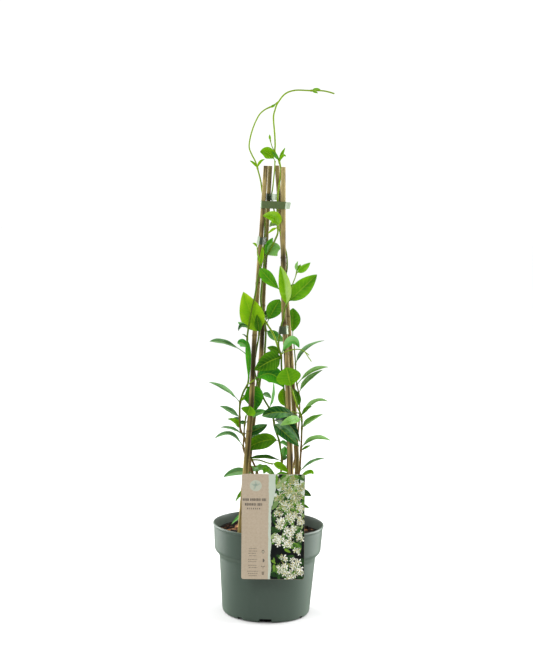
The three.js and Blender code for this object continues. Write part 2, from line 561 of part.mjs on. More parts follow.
function leafBody(lines, row) {
  const [ba, bu, ma, mu, md, ta, tu, td, width, turn, raised, fold, lead = 1] = row;
  const base = nearest(lines, ba, bu);
  const middle = spot([ma, mu, md]);
  const tip = spot([ta, tu, td]);
  const bend = minus(times(middle, 2), times(sum(base, tip), 0.5));
  const up = facing(turn, raised);
  const tiny = width <= TINY_WIDTH;
  const stations = tiny ? TINY : width <= SLIM_WIDTH ? SLIM : BROAD;
  const columns = tiny ? [-1, 1] : [-1, 0, 1];
  const points = [];
  stations.forEach(([station, share, thick]) => {
    const t = station ** (1 / lead);
    const at = base.map((value, i) => value * (1 - t) ** 2 + bend[i] * 2 * t * (1 - t) + tip[i] * t * t);
    const ahead = unit(base.map((value, i) => (bend[i] - value) * (1 - t) + (tip[i] - bend[i]) * t));
    const normal = unit(minus(up, times(ahead, dot(up, ahead))));
    const across = cross(ahead, normal);
    const half = Math.max(share * width / 2, STALK_HALF);
    const lift = half * Math.sin(fold * DEGREE) * Math.min(1, share * 3);
    const out = half * Math.cos(fold * DEGREE);
    [BLADE_THICK / 2, -BLADE_THICK / 2].forEach((level) => {
      columns.forEach((edge) => {
        const rise = level * thick + (edge === 0 ? 0 : lift);
        points.push(sum(at, sum(times(across, out * edge), times(normal, rise))));
      });
    });
  });
  const faces = sheetFaces(stations.length, columns.length);
  return manifold(points, outward(points, faces));
}

// faces of a sheet whose rows hold the upper side's points and then the lower side's
function sheetFaces(rows, columns) {
  const faces = [];
  const row = columns * 2;
  for (let k = 0; k + 1 < rows; k++) {
    const a = k * row;
    const b = a + row;
    for (let j = 0; j + 1 < columns; j++) {
      const low = a + columns + j;
      faces.push([a + j, b + j + 1, a + j + 1], [a + j, b + j, b + j + 1]);
      faces.push([low, low + 1, low + row + 1], [low, low + row + 1, low + row]);
    }
    faces.push([a, a + columns, b + columns], [a, b + columns, b]);
    faces.push([a + columns - 1, b + columns - 1, b + row - 1], [a + columns - 1, b + row - 1, a + row - 1]);
  }
  const end = (rows - 1) * row;
  for (let j = 0; j + 1 < columns; j++) {
    faces.push([j, j + 1, columns + j + 1], [j, columns + j + 1, columns + j]);
    const c = end + j;
    faces.push([c, c + columns + 1, c + 1], [c, c + columns, c + columns + 1]);
  }
  return faces;
}

// the stem lines of a plant; side stems start on the ones before
function stemLines(plant) {
  return plant.stems.reduce((lines, [, , points]) => {
    const [across, up] = points[0];
    const start = lines.length ? nearest(lines, across, up) : spot(points[0]);
    return [...lines, through([start, ...points.slice(1).map(spot)], STEM_FINE)];
  }, []);
}

// how far a point lies from the straight line between two others
function awayFrom(point, a, b) {
  const along = unit(minus(b, a));
  const reach = minus(point, a);
  return Math.hypot(...minus(reach, times(along, dot(reach, along))));
}

// leaves out the points of a line that its longer straight pieces can do without
function thinned(line, slack) {
  const kept = [0];
  while (kept[kept.length - 1] < line.length - 1) {
    const from = kept[kept.length - 1];
    let to = from + 1;
    const fits = (end) => line.slice(from + 1, end).every((p) => awayFrom(p, line[from], line[end]) < slack);
    while (to + 1 < line.length && fits(to + 1)) {
      to += 1;
    }
    kept.push(to);
  }
  return kept;
}

function tubeBody(line, foot, tip, grow) {
  const kept = thinned(line, STEM_SLACK);
  const last = line.length - 1;
  const share = kept.map((k) => k / last);
  return skin(ringsAlong(kept.map((k) => line[k]), (_, k) => mix(foot, tip, share[k]) + grow, STEM_SIDES));
}

function plantBody(plant) {
  const lines = stemLines(plant);
  const tubes = lines.map((line, k) => tubeBody(line, plant.stems[k][0], plant.stems[k][1], 0));
  const blades = plant.leaves.map((row) => leafBody(lines, row));
  return joined([...tubes, ...blades]);
}

// the plain hole that a stem's foot stands in
function stemHole(plant) {
  const [foot, tip] = plant.stems[0];
  const line = stemLines(plant)[0];
  const below = sum(line[0], [0, 0, -1]);
  return tubeBody([below, ...line.slice(1)], foot, tip, HOLE_AIR);
}

// the label with its hook and stake
function labelBody(grow) {
  const { width, height, thick, corner, lowest, front } = CARD;
  const outline = [];
  [[1, 1, 0], [-1, 1, 90], [-1, -1, 180], [1, -1, 270]].forEach(([sx, sz, start]) => {
    [0, 30, 60, 90].forEach((more) => {
      const angle = (start + more) * DEGREE;
      const x = sx * (width / 2 - corner) + corner * Math.cos(angle);
      outline.push([x, sz * (height / 2 - corner) + corner * Math.sin(angle)]);
    });
  });
  const centre = lowest + height / 2;
  const sheet = (y) => outline.map(([x, z]) => [x, y, z + centre]);
  const card = skin([sheet(front), sheet(front + thick)]);
  const half = STAKE.width / 2 + grow;
  const rod = STAKE.thick / 2 + grow;
  const back = STAKE.depth + rod;
  const bridge = box([-half, front + thick / 2, STAKE.bridge], [half, back, STAKE.bridge + 1.2]);
  const stake = box([-half, STAKE.depth - rod, STAKE.lowest - grow], [half, back, STAKE.bridge + 1]);
  const whole = joined([card, bridge, stake]);
  const settled = whole.translate([0, 0, -centre]).rotate([0, -CARD_TURN, 0]);
  return settled.translate([CARD.middle, 0, centre]);
}

// the potting mix with bark chips and plain holes
function soilTop(radius, angle) {
  const share = radius / 83;
  const ripple = 1.3 * Math.sin(3 * angle + 0.7) + 0.9 * Math.sin(5 * angle + 2);
  return SOIL_LEVEL + 3.2 * share ** 3 + ripple * share;
}

function soilBlock() {
  const sides = SOIL_SIDES;
  const walls = [
    [62.5, FLOOR + GAP], [66.2, 5.7], [68.1, 9], [74.7, 90.4], [75.9, 95.9], [79.2, 99.8], [82.1, 103.5],
  ];
  const mounds = [83.7, 66, 46, 24];
  const points = [[0, 0, FLOOR + GAP]];
  const circle = (radius, height) => {
    for (let i = 0; i < sides; i++) {
      const angle = ROUND * i / sides;
      points.push([radius * Math.cos(angle), radius * Math.sin(angle), height(angle)]);
    }
  };
  walls.forEach(([radius, z]) => circle(radius - 0.1, () => z));
  mounds.forEach((radius) => circle(radius, (angle) => soilTop(radius, angle)));
  points.push([0, 0, soilTop(0, 0)]);
  const rows = walls.length + mounds.length;
  const faces = [];
  for (let i = 0; i < sides; i++) {
    const next = (i + 1) % sides;
    faces.push([0, 1 + next, 1 + i]);
    for (let k = 0; k + 1 < rows; k++) {
      const a = 1 + k * sides;
      faces.push([a + i, a + next, a + sides + next], [a + i, a + sides + next, a + sides + i]);
    }
    const last = 1 + (rows - 1) * sides;
    faces.push([last + i, last + next, points.length - 1]);
  }
  return manifold(points, outward(points, faces));
}

function chips() {
  const roll = dice(411);
  return Array.from({ length: CHIP_COUNT }, () => {
    const length = mix(9, 22, roll());
    const width = mix(5, 9, roll());
    const thick = mix(3, 5, roll());
    const angle = ROUND * roll();
    const radius = Math.sqrt(roll()) * (80 - length / 2);
    const tilt = [mix(-9, 9, roll()), mix(-9, 9, roll()), 360 * roll()];
    const block = box([-length / 2, -width / 2, -CHIP_ROOT], [length / 2, width / 2, thick / 2]);
    const place = [radius * Math.cos(angle), radius * Math.sin(angle), soilTop(radius, angle) + 0.4];
    return block.rotate(tilt).translate(place);
  });
}

const holes = [
  ...Object.values(CANES).map(caneHole),
  ...Object.values(PLANTS).map(stemHole),
  labelBody(GAP),
];
const soil = holes.reduce((body, hole) => body.subtract(hole), joined([soilBlock(), ...chips()]));

// the tape ties
function heldAt(name, z) {
  if (CANES[name]) {
    const [x, y] = caneAt(CANES[name], z);
    return { x, y, radius: caneRadius(CANES[name], z) };
  }
  const [line] = stemLines(PLANTS[name]);
  const point = line.reduce((a, b) => (Math.abs(a[2] - z) < Math.abs(b[2] - z) ? a : b));
  return { x: point[0], y: point[1], radius: HELD_STEM };
}

// outline of a band drawn tight round what it holds
function bandRing(tie, z, extra) {
  const held = tie.around.map((name) => heldAt(name, z));
  const middle = [0, 1].map((axis) => held.reduce((a, h) => a + (axis ? h.y : h.x), 0) / held.length);
  const sides = TIE_SIDES;
  return Array.from({ length: sides }, (_, i) => {
    const way = [Math.cos(ROUND * i / sides), Math.sin(ROUND * i / sides)];
    const reach = Math.max(...held.map((h) => h.x * way[0] + h.y * way[1] + h.radius)) + TIE_SLACK + extra;
    return { way, reach, middle };
  }).map((here, i, all) => {
    const next = all[(i + 1) % sides];
    const bottom = here.way[0] * next.way[1] - here.way[1] * next.way[0];
    const x = (here.reach * next.way[1] - next.reach * here.way[1]) / bottom;
    const y = (next.reach * here.way[0] - here.reach * next.way[0]) / bottom;
    return [x, y, z];
  });
}

function tieBody(tie) {
  const outer = skin([tie.low, tie.high].map((z) => bandRing(tie, z, TIE_THICK)));
  const over = 2;
  const inner = skin([[tie.low, -over], [tie.high, over]].map(([height, more]) => {
    return bandRing(tie, height, 0).map(([x, y]) => [x, y, height + more]);
  }));
  return outer.subtract(inner);
}

// the whole plant
function meshOf(body, name, colour, roughness) {
  const { numProp, vertProperties, triVerts } = body.getMesh();
  const places = new Float32Array(triVerts.length * 3);
  triVerts.forEach((vertex, i) => {
    for (let axis = 0; axis < 3; axis++) {
      places[i * 3 + axis] = vertProperties[vertex * numProp + axis];
    }
  });
  const geometry = new THREE.BufferGeometry();
  geometry.setAttribute('position', new THREE.BufferAttribute(places, 3));
  geometry.computeVertexNormals();
  const material = new THREE.MeshStandardMaterial({ color: colour, roughness, metalness: 0 });
  const mesh = new THREE.Mesh(geometry, material);
  mesh.name = name;
  return mesh;
}

const plant = new THREE.Group();
plant.name = 'star_jasmine';
plant.add(meshOf(pot, 'pot', 0x5f7269, 0.5));
plant.add(meshOf(soil, 'soil', 0x4a2b1b, 0.95));
plant.add(meshOf(labelBody(0), 'label', 0xb9a78f, 0.5));
Object.entries(CANES).forEach(([name, cane]) => plant.add(meshOf(caneBody(cane), name, 0x9a8458, 0.6)));
Object.entries(TIES).forEach(([name, tie]) => plant.add(meshOf(tieBody(tie), name, 0x24402c, 0.4)));
Object.entries(PLANTS).forEach(([name, stem]) => plant.add(meshOf(plantBody(stem), name, 0x3f8a1e, 0.45)));

export default plant;
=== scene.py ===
from math import ceil, cos, exp, hypot, pi, radians, sin, sqrt, tau
import bpy
import bmesh
from mathutils import Matrix, Vector
from mathutils.noise import noise


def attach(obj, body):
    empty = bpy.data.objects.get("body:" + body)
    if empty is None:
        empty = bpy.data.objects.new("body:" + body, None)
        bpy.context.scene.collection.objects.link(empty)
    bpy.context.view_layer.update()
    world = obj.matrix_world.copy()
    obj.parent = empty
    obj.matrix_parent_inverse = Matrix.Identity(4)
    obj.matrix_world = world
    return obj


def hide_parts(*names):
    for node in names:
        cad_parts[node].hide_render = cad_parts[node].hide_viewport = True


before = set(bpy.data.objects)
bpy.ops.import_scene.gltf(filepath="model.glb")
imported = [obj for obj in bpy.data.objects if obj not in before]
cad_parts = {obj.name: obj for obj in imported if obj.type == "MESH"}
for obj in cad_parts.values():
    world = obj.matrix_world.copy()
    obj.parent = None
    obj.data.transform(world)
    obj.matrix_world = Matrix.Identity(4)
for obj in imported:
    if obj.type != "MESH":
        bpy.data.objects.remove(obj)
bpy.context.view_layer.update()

mm = 0.001

# the camera stands in front of the plant and looks slightly down
view = {
    "distance": 2.36,        # metres in front of the pot's middle
    "height": 0.70,
    "pitch": 6.79,           # degrees downwards
    "roll": 1.8,             # the plant leans a little to the right in the frame
    "focal": 1503,           # in units of one frame dot
    "frame": (533, 656),
    "middle": (273.8, 352.8),
    "sensor": 36, "farthest": 60,
}


def intoScene(name, data):
    thing = bpy.data.objects.new(name, data)
    bpy.context.scene.collection.objects.link(thing)
    return thing


def makeCamera(v):
    data = bpy.data.cameras.new("camera")
    camera = intoScene("camera", data)
    pitch, roll = radians(v["pitch"]), radians(v["roll"])
    ahead = Vector((0, cos(pitch), -sin(pitch)))
    level = Vector((1, 0, 0))
    upward = Vector((0, sin(pitch), cos(pitch)))
    right = level * cos(roll) + upward * sin(roll)
    up = upward * cos(roll) - level * sin(roll)
    turn = Matrix((right, up, -ahead)).transposed().to_4x4()
    camera.matrix_world = Matrix.Translation((0, -v["distance"], v["height"])) @ turn
    longSide = max(v["frame"])
    data.sensor_width = v["sensor"]
    data.lens = v["focal"] / longSide * v["sensor"]
    data.shift_x = -(v["middle"][0] - v["frame"][0] / 2) / longSide
    data.shift_y = (v["middle"][1] - v["frame"][1] / 2) / longSide
    data.clip_end = v["farthest"]
    bpy.context.scene.camera = camera


makeCamera(view)
bpy.context.scene.view_settings.view_transform = "Standard"
print("camera ready")


# small tools
def dice(seed):
    # the same row of numbers between 0 and 1 each time
    state, factor, most = [seed], 16807, 2147483647

    def roll():
        state[0] = (state[0] * factor) % most
        return state[0] / most

    return roll


def mix(a, b, t):
    return a + (b - a) * t


def mixColour(a, b, t):
    return tuple(mix(x, y, t) for x, y in zip(a, b))


def ease(a, b, t):
    t = min(1, max(0, (t - a) / (b - a)))
    return t * t * (3 - 2 * t)


def bell(distance, reach):
    # 1 at no distance, and next to nothing from twice the reach on
    return exp(-(distance / reach) ** 2)


class Paint:
    # a material with short calls for the nodes it is made of
    def __init__(self, name, roughness, **fixed):
        self.material = bpy.data.materials.new(name)
        self.material.use_nodes = True
        self.tree = self.material.node_tree
        self.shader = self.tree.nodes["Principled BSDF"]
        for socket, value in {"Roughness": roughness, **fixed}.items():
            self.shader.inputs[socket.replace("_", " ")].default_value = value

    def feed(self, socket, value):
        if hasattr(value, "is_output"):
            self.tree.links.new(value, socket)
        else:
            socket.default_value = value

    def node(self, kind, given=None, **settings):
        # what is given goes to the sockets of those names or numbers
        made = self.tree.nodes.new(kind)
        for key, value in settings.items():
            setattr(made, key, value)
        for socket, value in (given or {}).items():
            self.feed(made.inputs[socket], value)
        return made

    def value(self, name):
        return self.node("ShaderNodeAttribute", attribute_name=name).outputs["Fac"]

    def place(self, scale=(1, 1, 1)):
        where = self.node("ShaderNodeTexCoord").outputs["Object"]
        return self.node("ShaderNodeMapping", {"Vector": where, "Scale": scale}).outputs["Vector"]

    def split(self, vector):
        return self.node("ShaderNodeSeparateXYZ", {0: vector}).outputs[:]

    def speckle(self, scale, detail=3, vector=None, rough=0.55):
        given = {"Vector": vector or self.place(), "Scale": scale, "Detail": detail, "Roughness": rough}
        return self.node("ShaderNodeTexNoise", given).outputs["Fac"]

    def calc(self, kind, *values):
        return self.node("ShaderNodeMath", dict(enumerate(values)), operation=kind).outputs[0]

    def times(self, a, b, plus=None):
        if plus is None:
            return self.calc("MULTIPLY", a, b)
        return self.calc("MULTIPLY_ADD", a, b, plus)

    def minus(self, a, b):
        return self.calc("SUBTRACT", a, b)

    def clamp(self, value, low=0.0, high=1.0):
        return self.calc("MINIMUM", self.calc("MAXIMUM", value, low), high)

    def vary(self, value, speckle, amount):
        return self.times(self.minus(speckle, 0.5), amount, value)

    def ramp(self, factor, stops):
        made = self.node("ShaderNodeValToRGB")
        marks = made.color_ramp.elements
        while len(marks) < len(stops):
            marks.new(0.5)
        for mark, (where, colour) in zip(marks, stops):
            mark.position = where
            mark.color = (*colour, 1)
        self.feed(made.inputs["Fac"], factor)
        return made.outputs["Color"]

    def fade(self, factor, low, high):
        return self.ramp(factor, [(low, (0, 0, 0)), (high, (1, 1, 1))])

    def blend(self, factor, a, b):
        a, b = ((*colour, 1) if isinstance(colour, tuple) else colour for colour in (a, b))
        return self.node("ShaderNodeMix", {"Factor": factor, 6: a, 7: b}, data_type="RGBA").outputs[2]

    def bump(self, height, strength, distance):
        given = {"Height": height, "Strength": strength, "Distance": distance}
        self.feed(self.shader.inputs["Normal"], self.node("ShaderNodeBump", given).outputs["Normal"])

    def colour(self, value):
        self.feed(self.shader.inputs["Base Color"], value)

    def dull(self, value):
        self.feed(self.shader.inputs["Roughness"], value)


# the floor, the air and the soft boxes, in metres
studio = {
    "floorSize": 30, "floorAt": -0.0004,
    "floorColour": (0.98, 0.98, 0.98),
    "nearShade": (0.66, 0.66, 0.66),        # painted shade under the plant, where the soft boxes shine brightest
    "nearTo": 1.0, "farFrom": 2.0,           # how far from the plant each colour reaches
    "worldColour": (1, 1, 1, 1),
    "worldStrength": 1.08,
    "aim": (0, 0, 0.4),
    # place, width, height and strength of each soft box, all aimed at the plant's middle
    "lights": [
        ((-1.28, 0.68, 0.60), 1.4, 1.9, 50),
        ((1.36, 0.49, 0.60), 1.4, 1.9, 64),
        ((-0.9, -1.4, 1.7), 0.8, 0.8, 16),
    ],
}


def makeStudio(s):
    bpy.ops.mesh.primitive_plane_add(size=s["floorSize"], location=(0, 0, s["floorAt"]))
    floor = bpy.context.object
    floor.name = "floor"
    p = Paint("floorPaper", 0.9, Specular_IOR_Level=0.1)
    where = p.node("ShaderNodeTexCoord").outputs["Object"]
    away = p.node("ShaderNodeVectorMath", {0: where}, operation="LENGTH").outputs["Value"]
    given = {"Value": away, "From Min": s["nearTo"], "From Max": s["farFrom"]}
    share = p.node("ShaderNodeMapRange", given).outputs["Result"]
    # painted shade: the floor is darker near the plant, where the soft boxes light it most
    p.colour(p.blend(share, s["nearShade"], s["floorColour"]))
    floor.data.materials.append(p.material)
    floor.visible_glossy = False
    world = bpy.data.worlds.new("studioAir")
    world.use_nodes = True
    air = world.node_tree.nodes["Background"]
    air.inputs[0].default_value = s["worldColour"]
    air.inputs[1].default_value = s["worldStrength"]
    bpy.context.scene.world = world
    world.cycles_visibility.glossy = False     # only the soft boxes show as shine
    for i, (place, width, height, strength) in enumerate(s["lights"]):
        data = bpy.data.lights.new(f"softBox{i}", "AREA")
        data.shape = "RECTANGLE"
        data.size = width
        data.size_y = height
        data.energy = strength
        lamp = intoScene(f"softBox{i}", data)
        lamp.location = place
        aim = Vector(s["aim"]) - Vector(place)
        lamp.rotation_euler = aim.to_track_quat("-Z", "Y").to_euler()
        lamp.visible_camera = False


makeStudio(studio)
print("studio ready")


# points on canes and stems are [across, up, depth]: across and up are sighted from the front
# onto the upright plane through the pot's middle; from here on lengths are in millimetres
sight = {"distance": 2360, "height": 700}


def spot(p):
    k = (sight["distance"] + p[2]) / sight["distance"]
    return Vector((p[0] * k, p[2], sight["height"] + (p[1] - sight["height"]) * k))


def polar(radius, turn, z, x=0.0, y=0.0):
    return Vector((x + radius * cos(turn), y + radius * sin(turn), z))


def circle(sides, radius, z, x=0.0, y=0.0):
    return [polar(radius, tau * i / sides, z, x, y) for i in range(sides)]


def through(points, step):
    # a smooth curve through the points, with a new point about every step
    first = points[0] * 2 - points[1]
    last = points[-1] * 2 - points[-2]
    every = [first, *points, last]
    line = []
    for i in range(1, len(every) - 2):
        p, q, r, s = every[i - 1:i + 3]
        g, h, j = (sqrt((b - a).length) for a, b in ((p, q), (q, r), (r, s)))
        start = ((q - p) / g - (r - p) / (g + h) + (r - q) / h) * h
        end = ((r - q) / h - (s - q) / (h + j) + (s - r) / j) * h
        square = -3 * q + 3 * r - 2 * start - end
        cube = 2 * q - 2 * r + start + end
        steps = ceil(h * h / step)
        for k in range(steps):
            t = k / steps
            line.append(q + start * t + square * t * t + cube * t ** 3)
    line.append(points[-1].copy())
    return line


def aheadAt(line, k):
    return (line[min(k + 1, len(line) - 1)] - line[max(k - 1, 0)]).normalized()


def ringsAlong(line, radiusAt, sides):
    side = Vector((1, 0, 0))
    rings = []
    for k, point in enumerate(line):
        ahead = aheadAt(line, k)
        side = (side - ahead * side.dot(ahead)).normalized()
        other = ahead.cross(side)
        radius = radiusAt(k)
        rings.append([point + side * (radius * cos(tau * i / sides))
                      + other * (radius * sin(tau * i / sides)) for i in range(sides)])
    return rings


class Sketch:
    # gathers points, faces and named values per point for one mesh
    def __init__(self):
        self.points, self.faces, self.slots, self.uvs = [], [], [], []
        self.values = {}

    def add(self, points, faces, slot=0, uvs=None, **values):
        start = len(self.points)
        self.points += points
        self.faces += [tuple(i + start for i in face) for face in faces]
        self.slots += [slot] * len(faces)
        self.uvs += uvs or [(0, 0)] * len(points)
        for name in set(values) | set(self.values):
            have = self.values.setdefault(name, [0.0] * start)
            given = values.get(name, 0.0)
            have += list(given) if hasattr(given, "__len__") else [given] * len(points)

    def rings(self, rings, slot=0, band=False, **values):
        # joined one to the next; a band joins its last ring to its first, and other rows are
        # closed by a face at either end
        count, total = len(rings[0]), len(rings)
        faces = []
        for k in range(total if band else total - 1):
            a, b = k * count, (k + 1) % total * count
            for i in range(count):
                j = (i + 1) % count
                faces.append((a + i, a + j, b + j, b + i))
        if not band:
            faces.append(tuple(reversed(range(count))))
            faces.append(tuple(range((total - 1) * count, total * count)))
        self.add([p for ring in rings for p in ring], faces, slot, **values)

    def domed(self, points, sides):
        # a point on the axis, any number of rings, and a last point on the axis
        faces = []
        rows = (len(points) - 2) // sides
        for i in range(sides):
            j = (i + 1) % sides
            faces.append((0, 1 + j, 1 + i))
            for k in range(rows - 1):
                a = 1 + k * sides
                faces.append((a + i, a + j, a + sides + j, a + sides + i))
            rim = 1 + (rows - 1) * sides
            faces.append((len(points) - 1, rim + i, rim + j))
        self.add(points, faces)

    def build(self, name, paints, body="root", smooth=40):
        mesh = bpy.data.meshes.new(name)
        mesh.from_pydata([Vector(p) * mm for p in self.points], [], self.faces)
        for paint in paints:
            mesh.materials.append(paint)
        mesh.polygons.foreach_set("material_index", self.slots)
        for label, numbers in self.values.items():
            numbers += [0.0] * (len(self.points) - len(numbers))
            mesh.attributes.new(label, "FLOAT", "POINT").data.foreach_set("value", numbers)
        layer = mesh.uv_layers.new(name="UVMap")
        for loop in mesh.loops:
            layer.data[loop.index].uv = self.uvs[loop.vertex_index]
        work = bmesh.new()
        work.from_mesh(mesh)
        bmesh.ops.recalc_face_normals(work, faces=work.faces)
        work.to_mesh(mesh)
        work.free()
        mesh.shade_smooth()
        mesh.set_sharp_from_angle(angle=radians(smooth))
        piece = intoScene(name, mesh)
        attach(piece, body)
        return piece


def rounded(profile, steps=5):
    # profile of (radius, height, corner size); each corner becomes a short arc
    line = []
    for i, (r, z, corner) in enumerate(profile):
        here = Vector((r, z))
        if corner == 0 or i in (0, len(profile) - 1):
            line.append((r, z))
            continue
        before = Vector(profile[i - 1][:2]) - here
        after = Vector(profile[i + 1][:2]) - here
        cut = min(corner, before.length * 0.49, after.length * 0.49)
        a, b = here + before.normalized() * cut, here + after.normalized() * cut
        for k in range(steps + 1):
            t = k / steps
            line.append(tuple(a * (1 - t) ** 2 + here * 2 * t * (1 - t) + b * t * t))
    return line


leafLook = {
    # upper side from the oldest leaf to the youngest, in yellowish and in bluish greens
    "warm": [(0.0, (0.004, 0.026, 0.004)), (0.25, (0.015, 0.078, 0.001)), (0.5, (0.050, 0.175, 0.000)),
             (0.75, (0.130, 0.320, 0.000)), (1.0, (0.300, 0.470, 0.006))],
    "cool": [(0.0, (0.001, 0.024, 0.009)), (0.25, (0.003, 0.075, 0.012)), (0.5, (0.006, 0.175, 0.008)),
             (0.75, (0.030, 0.310, 0.008)), (1.0, (0.150, 0.450, 0.070))],
    "bloom": (0.27, 0.44, 0.24),                 # painted sheen: the silvery shine on some leaves
    "under": (0.10, 0.20, 0.05), "youngUnder": (0.22, 0.36, 0.08), "underVein": (0.45, 0.55, 0.25),
    "vein": (0.30, 0.46, 0.012),
    "veinShows": 0.13, "midribShows": 0.42,      # how far each is lighter than the blade
    "veinSlant": 0.34, "veinTurns": 56.0,        # the more turns, the more side veins
    "clouds": 0.5, "streaks": 0.35,              # how far the tone varies in small and in large patches
    "ribDarker": 0.09, "edgeLighter": 0.36,      # tone beside the midrib, and its rise to the margin
    # painted light across the fold: how far one half is lighter than the other
    "paintedHalfLight": 0.28,
    "gloss": 0.36,
    # tone from 0, old, to 1, young; how bluish; how much painted sheen; how far one half has painted light
    "kinds": {
        "dark": (0.12, 0.3, 0.0, 0.1), "forest": (0.22, 0.6, 0.04, 0.2), "bluish": (0.12, 0.9, 0.14, 0.3),
        "moss": (0.34, 0.0, 0.0, 0.1), "deep": (0.50, 0.65, 0.0, 0.2), "plain": (0.46, 0.0, 0.0, 0.1),
        "vivid": (0.58, 0.35, 0.0, 0.1), "leafy": (0.62, 0.15, 0.0, 0.15), "fresh": (0.67, 0.0, 0.0, 0.15),
        "bright": (0.70, 0.35, 0.0, 0.1), "lime": (0.75, 0.0, 0.0, 0.1), "apple": (0.58, 0.1, 0.0, 0.12),
        "young": (0.80, 0.0, 0.05, 0.1), "split": (0.84, 0.0, 0.14, 0.45), "sprout": (0.92, 0.0, 0.0, 0.1),
        "emerald": (0.84, 0.8, 0.0, 0.1), "tea": (0.56, 0.0, 0.26, 0.1), "olive": (0.58, 0.0, 0.30, 0.3),
        "jade": (0.64, 0.75, 0.25, 0.2), "steel": (0.40, 0.6, 0.36, 0.3), "mint": (0.55, 0.6, 0.70, 0.1),
        "glass": (0.95, 0.7, 0.38, 0.1),
    },
}


def leafPaint(look):
    p = Paint("leafSkin", look["gloss"], Specular_IOR_Level=0.1)
    along, over, _ = p.split(p.node("ShaderNodeUVMap", uv_map="UVMap").outputs["UV"])
    fromRib = p.minus(over, 0.5)
    aside = p.calc("ABSOLUTE", fromRib)
    # side veins leave the midrib at a slant and waver a little
    slant = p.times(aside, -look["veinSlant"], along)
    slant = p.times(p.speckle(90, 1), 0.03, slant)
    wave = p.calc("SINE", p.times(slant, look["veinTurns"]))
    veins = p.calc("POWER", p.times(wave, 0.5, 0.5), 9.0)
    midrib = p.minus(1.0, p.calc("MINIMUM", p.times(aside, 22.0), 1.0))
    cells = p.speckle(420, 2)
    clouds = p.speckle(42, 4)
    tone = p.vary(p.value("tone"), clouds, look["clouds"])
    tone = p.vary(tone, p.speckle(16, 2), look["streaks"])
    # darker beside the midrib, lighter towards the margin, and painted light across the fold: one half
    # lighter than the other
    tone = p.calc("ADD", tone, p.times(aside, look["edgeLighter"], -look["ribDarker"]))
    side = p.times(p.clamp(p.times(fromRib, 12.0), -1.0), p.value("half"))
    tone = p.times(side, look["paintedHalfLight"], tone)
    upper = p.blend(p.value("cool"), p.ramp(tone, look["warm"]), p.ramp(tone, look["cool"]))
    # painted sheen, stronger on the lighter half of the blade
    bloom = p.times(side, 0.5, p.vary(p.value("bloom"), clouds, 0.9))
    bloom = p.times(bloom, p.calc("GREATER_THAN", p.value("bloom"), 0.02))
    upper = p.blend(p.clamp(bloom, high=0.9), upper, look["bloom"])
    upper = p.blend(p.times(veins, look["veinShows"]), upper, look["vein"])
    upper = p.blend(p.times(midrib, look["midribShows"]), upper, look["vein"])
    under = p.blend(p.times(p.value("tone"), 0.6), look["under"], look["youngUnder"])
    under = p.blend(p.times(midrib, 0.5), under, look["underVein"])
    under = p.blend(p.times(veins, 0.15), under, look["underVein"])
    p.colour(p.blend(p.value("under"), upper, under))
    p.dull(p.times(p.value("under"), 0.25, p.times(clouds, 0.2, look["gloss"] - 0.1)))
    relief = p.times(veins, -0.6, p.times(cells, 0.22))
    p.bump(p.times(midrib, -0.9, relief), 0.5, 0.0008)
    return p.material


stemLook = {
    "green": (0.066, 0.122, 0.003), "lightGreen": (0.165, 0.265, 0.012),
    "brown": (0.078, 0.050, 0.013), "lightBrown": (0.165, 0.108, 0.033),
    "dull": 0.5, "barkDuller": 0.25,
}


def stemPaint(look):
    p = Paint("stemSkin", look["dull"], Specular_IOR_Level=0.08)
    green = p.blend(p.value("tone"), look["green"], look["lightGreen"])
    bark = p.blend(p.speckle(160, 4), look["brown"], look["lightBrown"])
    p.colour(p.blend(p.value("woody"), green, bark))
    p.dull(p.times(p.value("woody"), look["barkDuller"], look["dull"]))
    p.bump(p.speckle(700, 3, p.place((1, 1, 0.25))), 0.4, 0.0004)
    return p.material


